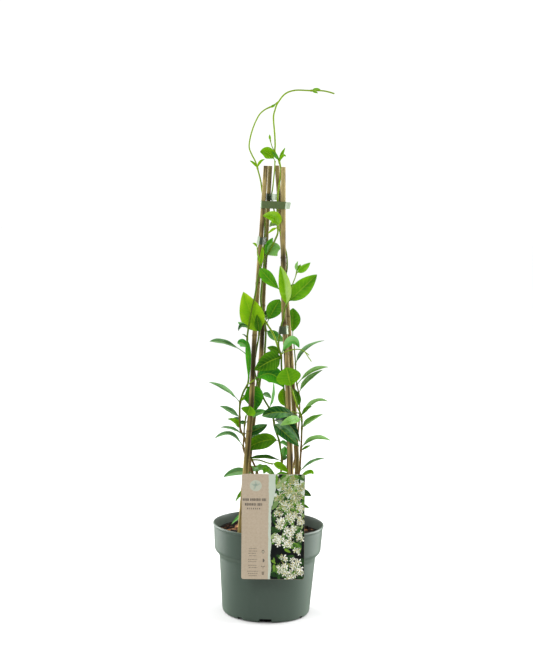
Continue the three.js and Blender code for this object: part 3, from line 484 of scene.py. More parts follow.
# stems and their leaves
# each plant: stems as [foot radius, tip radius, points], then leaves as [base across, up,
# middle across, up, depth, tip across, up, depth, width, facing, raised, fold, kind, lead];
# facing turns a leaf's upper side away from the front and raised is how far it looks up;
# lead is left out for 1, and above 1 the widest part lies nearer the tip
plants = {
    "stem_right_outer": {
        "stems": [
            [1.9, 1.3, [[20, 95, -12], [20, 127, -12], [28, 152, -14], [38, 190, -16], [46.4, 228, -18],
                [48, 259, -17], [48.4, 286, -15], [47, 318, -14], [39, 337, -22], [30.6, 361, -36]]],
            [1, 0.8, [[45, 323, -15], [32, 326, 4], [22, 331, 10]]],
        ],
        "leaves": [
            [46.6, 230, 66, 245, -22, 86, 252, -26, 12, 15, 74, 15, "steel"],
            [48.2, 268, 69, 284, -18, 95, 281, -22, 14, 10, 68, 12, "olive"],
            [48, 264, 56, 269, -17, 63, 272, -18, 5, 0, 45, 10, "fresh"],
            [48.2, 299, 61, 312, -10, 81, 323, -6, 13, -25, 55, 20, "olive"],
            [47, 320, 66, 342, -12, 88, 344, -14, 12, 0, 70, 15, "olive"],
            [47, 320, 54, 330, -18, 63, 335, -22, 8, 0, 45, 10, "plain"],
            [47, 317, 14, 324.5, -50, -15.5, 317, -44, 20, 0, 12, 12, "forest", 1.4],
            [47.4, 313, 32, 312.5, -47, 14.5, 303, -51, 13.5, 0, 15, 14, "tea"],
            [30.6, 361, 25.5, 378, -45, 20.5, 396.5, -49, 39.5, 0, 5, 12, "apple", 1.45],
            [22, 331, 16.5, 348, 10, 17, 363, 9, 16, 0, 0, 10, "fresh"],
            [41, 333, 39, 347, -9, 34, 363, -5, 13, 20, 0, 15, "moss"],
            [44.5, 218, 62, 229, -24, 69, 225, -26, 9, 0, 50, 10, "fresh"],
            [38, 190, 53, 195, -22, 67, 190, -26, 13, 0, 35, 10, "dark"],
            [34, 172, 50, 175, -20, 65, 170, -24, 8, 0, 45, 10, "plain"],
        ],
    },
    "stem_right_back": {
        "stems": [
            [1.5, 0.9, [[14, 95, 26], [14, 127, 26], [30, 200, 16], [40, 260, 6], [44, 330, 2],
                [42, 354, 2], [38.5, 368, 0], [35.5, 390, 1], [35, 402, 3], [33, 420, 15],
                [31, 436, 22], [29, 446, 23]]],
        ],
        "leaves": [
            [38.5, 370, 60, 391, 8, 87, 399, 14, 11, -10, 62, 15, "olive", 1.3],
            [42, 355, 54, 376, 10, 78, 394, 18, 11, -20, 50, 20, "olive", 1.2],
            [35, 402, 50, 427, 10, 79, 441, 16, 10, 20, 72, 15, "steel"],
            [29, 446, 28.5, 469, 25, 28, 491, 24, 25, 0, 0, 10, "bright", 1.35],
        ],
    },
    "stem_middle": {
        "stems": [
            [1.8, 1.3, [[4, 95, -4], [4, 127, -4], [10, 170, -8], [16, 215, -10], [18.4, 247, -10],
                [15.3, 266, -9], [13, 278, -8], [5, 300, -6], [3, 312, -5], [-5, 331, -2],
                [-13, 344, 0], [-22, 365, 2], [-30, 392, -2], [-28.6, 414, -10], [-27, 427, -16],
                [-25, 440, -21], [-24, 452, -26]]],
        ],
        "leaves": [
            [18.4, 246, -8, 251, -20, -36, 247.5, -20, 15, 0, 76, 10, "dark"],
            [18, 250, 21, 260, -10, 22.5, 270, -9, 12, 0, 0, 10, "jade"],
            [14, 272, 20, 276, -11, 27, 268, -12, 7, 0, 10, 10, "jade"],
            [18.4, 246, 23, 251, -12, 27, 251, -14, 7, 0, 20, 10, "forest"],
            [18.2, 244, 14, 239, -14, 10, 238, -17, 7, 0, 20, 10, "forest"],
            [13, 278, -13, 277, -6, -44, 260.5, -3, 25, 0, 8, 8, "plain"],
            [4.8, 306, 23, 290, -44, 45, 270, -44, 19, 10, 4, 14, "forest", 0.75],
            [3.4, 311, 27, 305, -43, 46, 277, -41, 17, 10, 4, 10, "bluish", 0.8],
            [-16, 351, -9, 352, -3, -2, 346, -5, 8, 0, 15, 10, "steel"],
            [-4, 330, 0.3, 349, -5, 1, 372, -9, 10, 62, 0, 10, "jade"],
            [-24, 451, -37, 479, -30, -51, 514, -27, 38, 0, 0, 6, "lime", 0.85],
            [-24, 449, -26, 463, -33, -28.5, 479, -34, 12, 0, 0, 10, "moss"],
            [15, 210, -7, 233, -15, -21, 226, -19, 10, 0, 14, 12, "tea"],
            [8, 160, 2, 176, -24, -10, 184, -34, 14, 0, 50, 12, "dark"],
            [11, 178, 12, 192, 20, 6, 196, 42, 16, 160, 50, 12, "dark"],
            [15, 208, 2, 216, 12, -10, 214, 34, 18, 180, 40, 12, "dark"],
        ],
    },
    "stem_left_inner": {
        "stems": [
            [1.8, 1.2, [[-8, 95, -14], [-8, 127, -14], [-18, 180, -16], [-28.5, 228, -17],
                [-33, 239, -18], [-40, 253, -18.5], [-43.6, 264, -20], [-43.4, 283, -21],
                [-43, 300, -24], [-41, 317, -31.5]]],
        ],
        "leaves": [
            [-43.6, 265, -64, 286, -24, -89.5, 279, -30, 13, -10, 68, 15, "steel", 1.2],
            [-43.4, 284, -60, 294, -26, -81, 297, -32, 11, -10, 70, 15, "steel", 1.2],
            [-41, 314, -37.5, 323, -37, -35, 332.5, -39, 25, -10, 10, 15, "plain", 1.6],
            [-42.6, 303, -26, 321, -14, -6.5, 324, -13, 10, 0, 20, 10, "jade", 1.2],
            [-43.3, 288, -24, 295, -16, -6.5, 304, -16, 15, 0, 10, 10, "forest"],
            [-42.6, 304, -46, 306, -27, -51, 304, -29, 7, 0, 15, 10, "forest"],
            [-27.6, 224, -52, 226, -20, -74, 216.5, -26, 14, 0, 40, 12, "steel"],
            [-28.5, 228, -24, 231, -21, -18, 230, -25, 8, 0, 30, 10, "steel"],
            [-22, 198, -39, 196, -18, -54, 177, -22, 9, -30, 20, 10, "plain"],
            [-12.6, 152, -36, 158, -16, -59, 140, -20, 9, -10, 50, 10, "jade"],
        ],
    },
    "stem_left_outer": {
        "stems": [
            [1.8, 1.1, [[-4, 95, 6], [-4, 127, 6], [-12, 180, -2], [-21.4, 229, -8], [-29, 245, -9],
                [-38, 266, -10], [-43, 283, -11], [-48.7, 292.6, -12], [-51, 314, -13], [-51, 337, -14],
                [-49, 346.5, -15], [-45.4, 357, -17], [-40.5, 366, -21], [-38.8, 374, -25],
                [-38.8, 392, -26], [-39.4, 413, -27], [-41.4, 426, -28], [-42.7, 440, -30],
                [-42, 451, -34], [-38.8, 475, -36], [-36, 491, -36], [-32.5, 508, -33],
                [-29.7, 529, -24], [-27.8, 540, -21.5], [-25.9, 549, -20.5], [-23.5, 560, -19],
                [-21.4, 570, -12], [-20.4, 590, -4], [-20, 612, 0], [-20.6, 632, 0], [-21.5, 650, 0],
                [-26.4, 673, 0], [-28, 684, -2], [-30.7, 695, -4], [-33.4, 704, -6], [-37.5, 717, -6],
                [-43.9, 728.5, -8], [-48, 738, -8], [-48.3, 746, -8], [-46.6, 757, -8],
                [-43.4, 769, -8], [-38.4, 782, -8], [-32.7, 792, -8], [-24.5, 799, -8],
                [-12.6, 805, -8], [-5.6, 811, -7]]],
            [1.3, 1.1, [[-29.5, 246, -9], [-18, 246, -14], [-4.6, 242, -21], [3.5, 240.5, -24]]],
            [1, 0.8, [[-40, 368, -22], [-35, 370.5, -31], [-29.5, 375, -29]]],
            [0.8, 0.7, [[-24.6, 555, -20], [-30.4, 573, -20], [-31, 584, -16]]],
        ],
        "leaves": [
            [3.5, 240.5, 15, 238, -27, 30, 227, -28, 12, 0, 20, 15, "fresh"],
            [-48.7, 293, -56, 306, -15, -70.5, 310.6, -20, 10, -20, 45, 12, "lime"],
            [-50.4, 306, -55, 310, -10, -62, 312, -8, 9, 0, 20, 10, "steel"],
            [-51, 314, -66, 324, -16, -83, 331, -20, 12, -10, 56, 12, "steel"],
            [-51, 337, -70, 355, -18, -101, 369, -26, 12, -10, 62, 15, "steel", 1.6],
            [-50.6, 340, -46.5, 344, -17, -45, 349, -19, 4, 0, 0, 10, "fresh"],
            [-29.5, 375, -3, 385, -29, 18, 364, -26, 27, 0, 0, 10, "deep"],
            [-41.5, 364, -30, 349, -11, -28, 325, -6, 32, 0, 0, 12, "deep", 0.85],
            [-39.4, 411, -69, 430, -32, -102, 434, -38, 14, -10, 62, 15, "steel", 2],
            [-41.2, 425, -50, 433, -24, -58, 432, -20, 13, 0, 10, 10, "jade"],
            [-41.4, 459, -51, 462, -37, -58, 466, -38, 7, 0, 20, 12, "jade"],
            [-41.4, 459, -52, 461, -40, -57, 452, -43, 6, 0, 30, 12, "forest"],
            [-42.7, 440, -46, 445, -32, -51, 447, -34, 2.4, 0, 40, 5, "plain"],
            [-31, 584, -34, 589, -16, -39, 591, -17, 4, 0, 30, 10, "lime"],
            [-34.5, 708, -40.5, 715, -8, -47, 719, -9, 4.5, 0, 40, 10, "lime"],
            [-34.5, 708, -31, 717, -8, -23.5, 722, -9, 4.5, 0, 20, 10, "lime"],
            [-10, 170, -26, 182, -4, -38, 186, 0, 14, 0, 50, 12, "dark"],
            [-24.6, 556, -23.4, 571, -21, -22.6, 587, -19, 6, 0, 0, 10, "lime"],
            [-26.5, 561, -28.2, 567, -22, -29.3, 574.5, -21, 3.5, 0, 0, 10, "young"],
            [-42.7, 440, -40, 411, -36.5, -38.3, 373, -33, 9, 0, 0, 10, "deep", 0.8],
            [-17.5, 800.5, -13.5, 804, -9, -9.5, 807, -9, 4.5, 0, 20, 10, "fresh"],
        ],
    },
    "stem_top": {
        "stems": [
            [1.8, 1.25, [[-14, 95, 14], [-14, 127, 14], [-24, 200, 14], [-34, 250, 8], [-33, 290, 6],
                [-31, 320, 6], [-26, 350, 10], [-19, 385, 14], [-15, 410, 15], [-14, 430, 15],
                [-14, 456, 13], [-19, 480, 8], [-23, 500, 6], [-22, 530, 6], [-20, 550, 5],
                [-17.5, 569, 4], [-11.5, 580, 3], [-7.2, 589, 2], [-3.2, 598, 0], [0.3, 608, -4],
                [0, 618, -6], [-1.5, 640, -4], [-1.6, 661, -2], [0, 682, -2], [1.6, 696, -1],
                [1.6, 710, 1], [0, 716, 0], [-3.5, 726, 0], [-8, 734, 0], [-8, 744, 0], [-8.9, 757, 0],
                [-10.2, 769, 0], [-11.6, 780.5, 0], [-11.9, 790, 0], [-10, 798, 1], [-7.8, 805.5, 2],
                [-4.4, 811.6, 3], [1.4, 820, 3], [7.3, 825, 3], [14.4, 828, 3], [22.8, 829.6, 3],
                [44, 829.6, 3], [61, 830, 3], [71, 828.7, 3], [81.4, 826, 3]]],
            [0.8, 0.7, [[-6, 731, 0], [-10.6, 737.5, -1], [-13.6, 744, -1], [-15.6, 751, -1],
                [-16.6, 756, -1]]],
        ],
        "leaves": [
            [-17.5, 570, -14, 586, 6.3, -7, 600.5, 5, 12.5, 0, 0, 12, "emerald"],
            [-17.5, 570, -5, 582, 7.2, 5, 583, 6.5, 23, 0, 0, 10, "glass"],
            [0.5, 617, -5, 631.5, -15, -24, 634, -17.5, 20, -15, 15, 20, "young"],
            [0, 617, -8, 613, -9, -14.5, 606.5, -10, 4.5, 0, 20, 10, "sprout"],
            [0, 618, -6.5, 623, -5, -13, 617, -4, 9, 180, 0, 10, "mint"],
            [-1.8, 721, -6.8, 728, -10, -13.5, 735, -14, 6, 0, 10, 10, "vivid"],
            [0, 717, 2.4, 729, 0, 7.8, 741, 0, 5.5, 0, 10, 10, "lime"],
            [0.4, 719, 4.5, 728, -4, 9.5, 727, -5, 5, 0, 30, 10, "lime"],
            [45, 829.6, 52, 831.8, 2, 59.5, 832, 1, 4.5, 0, 20, 10, "young"],
            [45, 829.6, 50.5, 828, 2, 56, 826, 1, 4, 0, 20, 10, "young"],
            [-14, 455, 0, 446.5, 10, 17, 438, 6, 15, 0, 10, 10, "jade"],
            [-33.2, 282, -18, 281, 32, -4, 276, 56, 18, 60, 50, 12, "dark"],
            [-27, 345, -38, 352, 24, -41, 345, 46, 18, 240, 50, 12, "dark"],
            [-17, 395, -5, 395, 32, 0, 390, 56, 18, 100, 50, 12, "dark"],
            [-15, 408, -6, 412, 34, 2, 404, 54, 18, 120, 50, 12, "dark"],
            [-21.6, 535, -13, 541, 3, -6, 537, 4, 8, 0, 20, 12, "dark"],
            [-15.6, 751, -16.6, 755.5, -2, -17.2, 760.5, -2, 4, 0, 0, 10, "young"],
        ],
    },
    "stem_right_twiner": {
        "stems": [
            [1.8, 1.1, [[24, 95, 8], [24, 127, 8], [28, 200, 6], [27, 260, 4], [23, 320, -6],
                [18, 360, -16], [13, 395, -22], [11.6, 415, -26], [7.5, 428, -28], [7.2, 442, -28],
                [9.3, 453, -27], [10.5, 464, -27.5], [13.5, 474.5, -29], [14.5, 485, -29],
                [18.7, 499, -25], [21, 511, -16], [18, 525, -6], [14.8, 539, -4], [16.6, 552, -10],
                [16.6, 562, -12], [15, 576, -9], [10, 592, -3], [5, 606, -1], [-1, 625, 2.5],
                [-7, 645, 5], [-10.5, 660, 8], [-11, 668, 7], [-9.8, 678, 3], [-8.9, 690, -1],
                [-7.8, 706, -2], [-7.5, 720, -3]]],
            [1.7, 1.4, [[10.5, 418, -27], [7, 427, -21], [2, 440, -14], [-3, 451, -8], [-10, 461.5, -4],
                [-16, 470, -2]]],
            [0.9, 0.7, [[11, 417, -27], [16, 420, -32], [23, 423, -33], [33.5, 425.6, -30],
                [44, 425, -28], [49, 422, -27], [54, 415, -27], [60, 407, -27]]],
            [0.8, 0.7, [[48, 423, -27], [52, 420, -25], [56, 417, -24]]],
            [0.9, 0.8, [[20.5, 508, -18], [26, 528, -13], [30.5, 541, -11], [32, 549, -10]]],
        ],
        "leaves": [
            [12, 412, -6.5, 405, -34, -29.5, 390, -32, 30, 0, 0, 8, "moss", 0.8],
            [11, 417, 1, 424, -22, -11, 427, -20, 11, 0, 10, 10, "plain"],
            [11, 417, 27, 439, -35, 40, 428, -39, 15, 0, 25, 15, "jade"],
            [19.5, 507, -6, 530.5, -33, -26, 552, -31, 19, 0, 5, 10, "vivid", 1.9],
            [18.5, 495, 13.5, 528, -38, 5.5, 557, -36, 19.5, 0, 0, 10, "split", 0.8],
            [18.7, 499, 40, 521, -28, 64, 545, -22, 27, 0, 5, 8, "leafy"],
            [32, 549, 31, 557, -12, 33.5, 565, -14, 5, 0, 10, 10, "glass"],
            [31.5, 547, 42, 553.5, -13, 53, 563.5, -15, 11, 0, 5, 10, "bright"],
            [32, 549, 35, 555, -10, 38, 560, -9, 5, 0, 20, 10, "fresh"],
            [-12, 465, -3, 486, -8, 7, 504, -10, 24.5, 0, 5, 8, "vivid", 1.3],
            [-7.5, 720, -18, 731, -7, -31.4, 733, -10, 19, 0, 12, 12, "fresh", 1.15],
            [25.4, 290, 20, 292, 22, 14, 296, 46, 18, 150, 50, 12, "dark"],
            [23, 319, 13, 324, 16, 4, 326, 40, 18, 180, 50, 12, "dark"],
            [16, 375, 10, 383, 6, 5, 380, 34, 18, 170, 50, 12, "dark"],
            [19.4, 518, 34, 523, 6, 50, 518, 26, 20, 120, 40, 12, "dark"],
            [-15, 469, -8, 482, 9, 0, 490, 30, 16, 150, 40, 12, "dark"],
        ],
    },
    "shoot_back_left": {
        "stems": [
            [1.7, 1, [[-18, 95, 34], [-18, 127, 34], [-22, 160, 40], [-24, 200, 44], [-22, 230, 46]]],
        ],
        "leaves": [
            [-20, 148, -30, 164, 52, -36, 158, 72, 17, 200, 50, 12, "dark"],
            [-22, 165, -10, 178, 54, 2, 174, 70, 18, 150, 50, 12, "plain"],
            [-24, 190, -32, 205, 58, -36, 203, 78, 18, 200, 50, 12, "dark"],
            [-24, 205, -12, 215, 60, 0, 210, 76, 18, 150, 50, 12, "dark"],
            [-22, 229, -27, 236, 60, -31, 228, 80, 16, 190, 60, 12, "plain"],
            [-22, 229, -14, 237, 54, -5, 236, 68, 15, 150, 50, 12, "plain"],
        ],
    },
    "shoot_back_right": {
        "stems": [
            [1.7, 1, [[20, 95, 42], [20, 127, 42], [26, 165, 48], [30, 205, 52], [33, 232, 54]]],
        ],
        "leaves": [
            [23, 150, 36, 166, 56, 47, 162, 70, 17, 160, 50, 12, "dark"],
            [26, 168, 16, 182, 60, 8, 176, 78, 18, 190, 50, 12, "plain"],
            [29, 192, 40, 206, 62, 49, 201, 76, 18, 150, 50, 12, "dark"],
            [30, 208, 20, 218, 64, 12, 211, 82, 18, 190, 50, 12, "dark"],
            [33, 231, 41, 237, 66, 47, 230, 82, 16, 160, 60, 12, "plain"],
            [33, 231, 26, 238, 66, 20, 233, 84, 15, 190, 60, 12, "plain"],
        ],
    },
    "shoot_front": {
        "stems": [
            [1.6, 1, [[4, 95, -46], [4, 127, -46], [8, 160, -52], [6, 200, -56], [4, 224, -58]]],
        ],
        "leaves": [
            [6, 150, -8, 168, -60, -24, 164, -68, 16, -20, 50, 12, "dark"],
            [8, 168, 22, 184, -60, 32, 178, -74, 16, 20, 50, 12, "plain"],
            [6, 195, -12, 210, -64, -28, 205, -72, 17, -20, 50, 12, "plain"],
            [5, 210, 18, 222, -64, 28, 216, -76, 16, 20, 50, 12, "plain"],
            [4, 223, -4, 231, -66, -10, 224, -78, 14, 0, 60, 12, "plain"],
        ],
    },
}

# heights in millimetres: each main stem is brown and woody up to the first, fresh green from the second
barkTo = {
    "stem_right_outer": (300, 330), "stem_right_back": (372, 700), "stem_middle": (250, 700),
    "stem_left_inner": (300, 400), "stem_left_outer": (322, 655), "stem_top": (330, 600),
    "stem_right_twiner": (300, 580), "shoot_back_left": (150, 400), "shoot_back_right": (150, 400),
    "shoot_front": (150, 400),
}
stemForm = {
    "sides": 8, "step": 1.5,
    "uneven": 0.03,                    # share of the radius
    "swell": 0.55, "swellReach": 1.8,  # how far a joint stands out, and how far along the stem
    "scarReach": 1.6, "scar": 0.5,     # brown marks at the joints, on the lower stems
    "scarHigh": 0.1, "highFrom": 460,  # and fainter ones above this height
    "fadeBark": 25, "fadeFresh": 30,   # how far below and above its height each change reaches
    "barkWavers": 6,
    "sideTone": 0.85,                  # side stems are all fresh
}
leafForm = {
    "rows": 24, "columns": 10,         # fineness of a broad leaf
    "smallTo": 9,                      # up to this width a leaf is made with fewer of both
    "smallRows": 12, "smallColumns": 6,
    "stalk": 0.10,                     # share of the length that is leaf stalk
    "stalkHalf": 0.65, "stalkThick": 2.2,
    "thick": 0.55, "thinner": 0.45,    # the margin is thinner than the middle by this share
    "groove": 0.18, "grooveHalf": 0.6,
    "wave": 0.05,                      # how far the margin waves, as a share of half the width
    "waves": (2.0, 3.4),
    "toneSpread": 0.04,
}


def facing(turn, raised):
    turn, raised = radians(turn), radians(raised)
    return Vector((sin(turn) * cos(raised), -cos(turn) * cos(raised), sin(raised)))


def nearest(lines, across, up):
    def away(point):
        k = sight["distance"] / (sight["distance"] + point.y)
        return hypot(point.x * k - across, sight["height"] + (point.z - sight["height"]) * k - up)

    return min((point for line in lines for point in line), key=away)


def stemLines(plant):
    # side stems start on the stems before them
    lines = []
    for _, _, points in plant["stems"]:
        start = nearest(lines, points[0][0], points[0][1]) if lines else spot(points[0])
        lines.append(through([start, *map(spot, points[1:])], stemForm["step"]))
    return lines


def outlineAt(s):
    # half width of a blade along its length: widest near the middle, drawn out at the tip
    s = min(1, max(0, s))
    return max(0.0, sin(pi * s ** 0.86)) ** 0.8


def addLeaf(sketch, lines, row, roll):
    form = leafForm
    ba, bu, ma, mu, md, ta, tu, td, width, turn, raised, fold, kind = row[:13]
    lead = row[13] if len(row) > 13 else 1
    tone, cool, bloom, half = leafLook["kinds"][kind]
    base, middle, tip = nearest(lines, ba, bu), spot((ma, mu, md)), spot((ta, tu, td))
    bend = middle * 2 - (base + tip) * 0.5
    up = facing(turn, raised)
    small = width <= form["smallTo"]
    rows = form["smallRows" if small else "rows"]
    columns = form["smallColumns" if small else "columns"]
    phase, waves = roll() * tau, mix(*form["waves"], roll())
    stalk, fold = form["stalk"], radians(fold)
    tops, bottoms, uvs = [], [], []
    for k in range(rows + 1):
        t = k / rows
        at = base * (1 - t) ** 2 + bend * (2 * t * (1 - t)) + tip * t * t
        ahead = ((bend - base) * (1 - t) + (tip - bend) * t).normalized()
        normal = (up - ahead * up.dot(ahead)).normalized()
        across = ahead.cross(normal)
        s = (t ** lead - stalk) / (1 - stalk)
        reach = max(width / 2 * outlineAt(s), form["stalkHalf"] * (1 - 0.75 * ease(0.8, 1, t)))
        blade = ease(0.02, 0.2, s)
        for j in range(columns + 1):
            v = -1 + 2 * j / columns
            ripple = sin(waves * tau * t + phase + 1.3 * v)
            lift = reach * sin(fold) * abs(v) ** 1.5 * blade
            lift += reach * form["wave"] * v * v * ripple * blade
            groove = form["groove"] * bell(v * reach, form["grooveHalf"]) * blade
            thick = form["thick"] * (1 - form["thinner"] * v * v) * mix(form["stalkThick"], 1, blade)
            here = at + across * (reach * cos(fold) * v) + normal * lift
            tops.append(here + normal * (thick / 2 - groove))
            bottoms.append(here - normal * (thick / 2 + groove))
            uvs.append((t, (v + 1) / 2))
    # the upper side, the lower side and the narrow margin between them
    wide, count = columns + 1, len(tops)
    faces = []
    for k in range(rows):
        for j in range(columns):
            a = k * wide + j
            faces.append((a, a + 1, a + wide + 1, a + wide))
            faces.append((count + a, count + a + wide, count + a + wide + 1, count + a + 1))
        for a in (k * wide, k * wide + columns):
            faces.append((a, a + wide, count + a + wide, count + a))
    for a in (0, rows * wide):
        for j in range(columns):
            faces.append((a + j, a + j + 1, count + a + j + 1, count + a + j))
    tone += mix(-form["toneSpread"], form["toneSpread"], roll())
    half *= 1 if kind == "split" or roll() < 0.5 else -1
    sketch.add(tops + bottoms, faces, 0, uvs * 2, tone=tone, cool=cool, bloom=bloom, half=half,
               under=[0.0] * count + [1.0] * count)


def makePlant(name, plant, paints):
    form = stemForm
    roll = dice(sum(map(ord, name)))
    lines = stemLines(plant)
    sketch = Sketch()
    bark, fresh = barkTo[name]
    for order, (line, (foot, tip, _)) in enumerate(zip(lines, plant["stems"])):
        kept = line[::2] + ([line[-1]] if len(line) % 2 == 0 else [])
        knots = [nearest([line], row[0], row[1]) for row in plant["leaves"]]
        knots = [knot for knot, row in zip(knots, plant["leaves"])
                 if (nearest(lines, row[0], row[1]) - knot).length < 0.1]

        def atKnot(point, reach):
            return max([bell((point - knot).length, reach) for knot in knots], default=0)

        def radiusAt(k):
            plain = mix(foot, tip, k / (len(kept) - 1))
            uneven = 1 + form["uneven"] * noise(kept[k] * 0.3)
            return plain * uneven + form["swell"] * atKnot(kept[k], form["swellReach"])

        woody, tone = [], []
        for point in kept:
            z = point.z
            wavering = z + form["barkWavers"] * noise(point * 0.08)
            brown = 1 - ease(bark - form["fadeBark"], bark + form["fadeBark"], wavering)
            brown = brown if order == 0 else 0
            scar = form["scar" if z < form["highFrom"] else "scarHigh"] * atKnot(point, form["scarReach"])
            light = ease(fresh - form["fadeFresh"], fresh + form["fadeFresh"], z)
            woody += [min(1, max(brown, scar))] * form["sides"]
            tone += [light if order == 0 else form["sideTone"]] * form["sides"]
        sketch.rings(ringsAlong(kept, radiusAt, form["sides"]), 1, woody=woody, tone=tone)
    for row in plant["leaves"]:
        addLeaf(sketch, lines, row, roll)
    piece = sketch.build(f"{name}_fine", paints, smooth=60)
    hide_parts(name)


leafSkin, stemSkin = leafPaint(leafLook), stemPaint(stemLook)
for plantName, plantShape in plants.items():
    makePlant(plantName, plantShape, [leafSkin, stemSkin])
print("leafy stems ready")


# the four canes: radii and a line of points from the foot to the top, and the heights of the knots
canes = {
    "cane_front_left": {
        "radii": [5.1, 4.9, 4.2, 3.8, 3.5],
        "line": [[-48, 60, -38], [-38.6, 230, -30], [-33.2, 340, -24.5], [-31.2, 444, -19.2],
                 [-21.6, 712, -6]],
        "knots": [118, 205, 297, 372, 448, 530],
    },
    "cane_back_left": {
        "radii": [4.1, 4, 3.8, 3.5, 3.3],
        "line": [[-44, 60, 41], [-31, 290, 29], [-20.5, 400, 23], [-19, 520, 16.5], [-14.8, 712, 6]],
        "knots": [140, 232, 318, 404, 492, 571],
    },
    "cane_back_right": {
        "radii": [4.3, 4.1, 3.8, 3.6, 3.7],
        "line": [[52, 60, 33], [43.5, 227, 26], [28.5, 400, 18], [11, 565, 11], [-4.2, 713, 5]],
        "knots": [130, 222, 311, 390, 476, 561],
    },
    "cane_front_right": {
        "radii": [4.7, 4.5, 4.2, 4.1, 3.7],
        "line": [[43, 60, -49], [33, 228, -38], [21.3, 400, -26], [13.7, 488, -19.7], [5.6, 711, -4]],
        "knots": [134, 226, 312, 398, 469, 571],
    },
}
caneForm = {
    "sides": 24, "step": 12, "ringsEvery": 9,
    "knotRings": (-4, -2.5, -1.4, -0.7, 0, 0.5, 1.1, 2.2, 4),     # closer rings about each knot
    "swell": 0.5, "swellReach": 1.9,
    "groove": 0.34, "grooveAt": 0.9, "grooveReach": 0.45,
    "uneven": 0.12,
    "sawn": ((0.93, -0.25), (0.5, -0.1), (0.42, 3.0), (0.1, 3.6)),  # share of the radius, depth
}
caneLook = {
    "light": (0.285, 0.210, 0.066), "dark": (0.072, 0.047, 0.012), "streakAndShade": (0.014, 0.009, 0.003),
    "green": (0.085, 0.080, 0.013), "worn": (0.40, 0.33, 0.150),
    "ring": (0.045, 0.024, 0.010), "cut": (0.07, 0.045, 0.022),
    # how pale and yellow each cane is
    "pale": {"cane_front_left": 0.2, "cane_back_left": 0.2, "cane_back_right": 0.3,
             "cane_front_right": 0.5},
    "bleached": 0.4, "bleachedFrom": (580, 680),       # paler still towards the tops
    "stripTo": (570, 660),                             # where the painted-shade strip down each cane ends
    # heights between which a cane has painted shade all round
    "shadedStretches": {"cane_front_left": [(380, 440), (330, 352)], "cane_back_left": [(420, 470), (560, 590)],
                  "cane_back_right": [(560, 585)], "cane_front_right": [(463, 476), (560, 575)]},
    "shadedFade": 8, "darkest": 0.85,
}


def canePaint(look):
    p = Paint("caneSkin", 0.45, Specular_IOR_Level=0.1)
    fibres = p.speckle(430, 5, p.place((1, 1, 0.03)), 0.7)
    stripes = p.speckle(190, 3, p.place((1, 1, 0.045)))
    patches = p.speckle(34, 2, p.place((1, 1, 0.5)))
    shade = p.vary(fibres, patches, 1.4)
    middle = mixColour(look["dark"], look["light"], 0.55)
    base = p.ramp(shade, [(0.30, look["dark"]), (0.48, middle), (0.68, look["light"])])
    green = p.ramp(stripes, [(0.40, (0.7, 0.7, 0.7)), (0.50, (0, 0, 0))])
    base = p.blend(green, base, look["green"])
    base = p.blend(p.times(p.value("pale"), 0.5), base, look["worn"])
    base = p.blend(p.times(p.fade(stripes, 0.53, 0.61), 0.8), base, look["streakAndShade"])
    # painted shade from the shade values: the strip down the front and the shaded stretches
    base = p.blend(p.value("shade"), base, look["streakAndShade"])
    base = p.blend(p.times(p.value("ring"), 0.75), base, look["ring"])
    p.colour(p.blend(p.value("cut"), base, look["cut"]))
    p.dull(p.times(fibres, 0.25, 0.42))
    p.bump(p.times(p.value("ring"), -1.0, fibres), 0.3, 0.0005)
    return p.material


def caneLine(cane, step):
    return through([spot(p) for p in cane["line"]], step)


def caneAt(line, z):
    for a, b in zip(line, line[1:]):
        if b.z >= z:
            return a.lerp(b, (z - a.z) / (b.z - a.z))
    return line[-1]


def caneRadius(cane, z):
    marks = [spot(p).z for p in cane["line"]]
    for a, b, ra, rb in zip(marks, marks[1:], cane["radii"], cane["radii"][1:]):
        if z <= b:
            return mix(ra, rb, (z - a) / (b - a))
    return cane["radii"][-1]


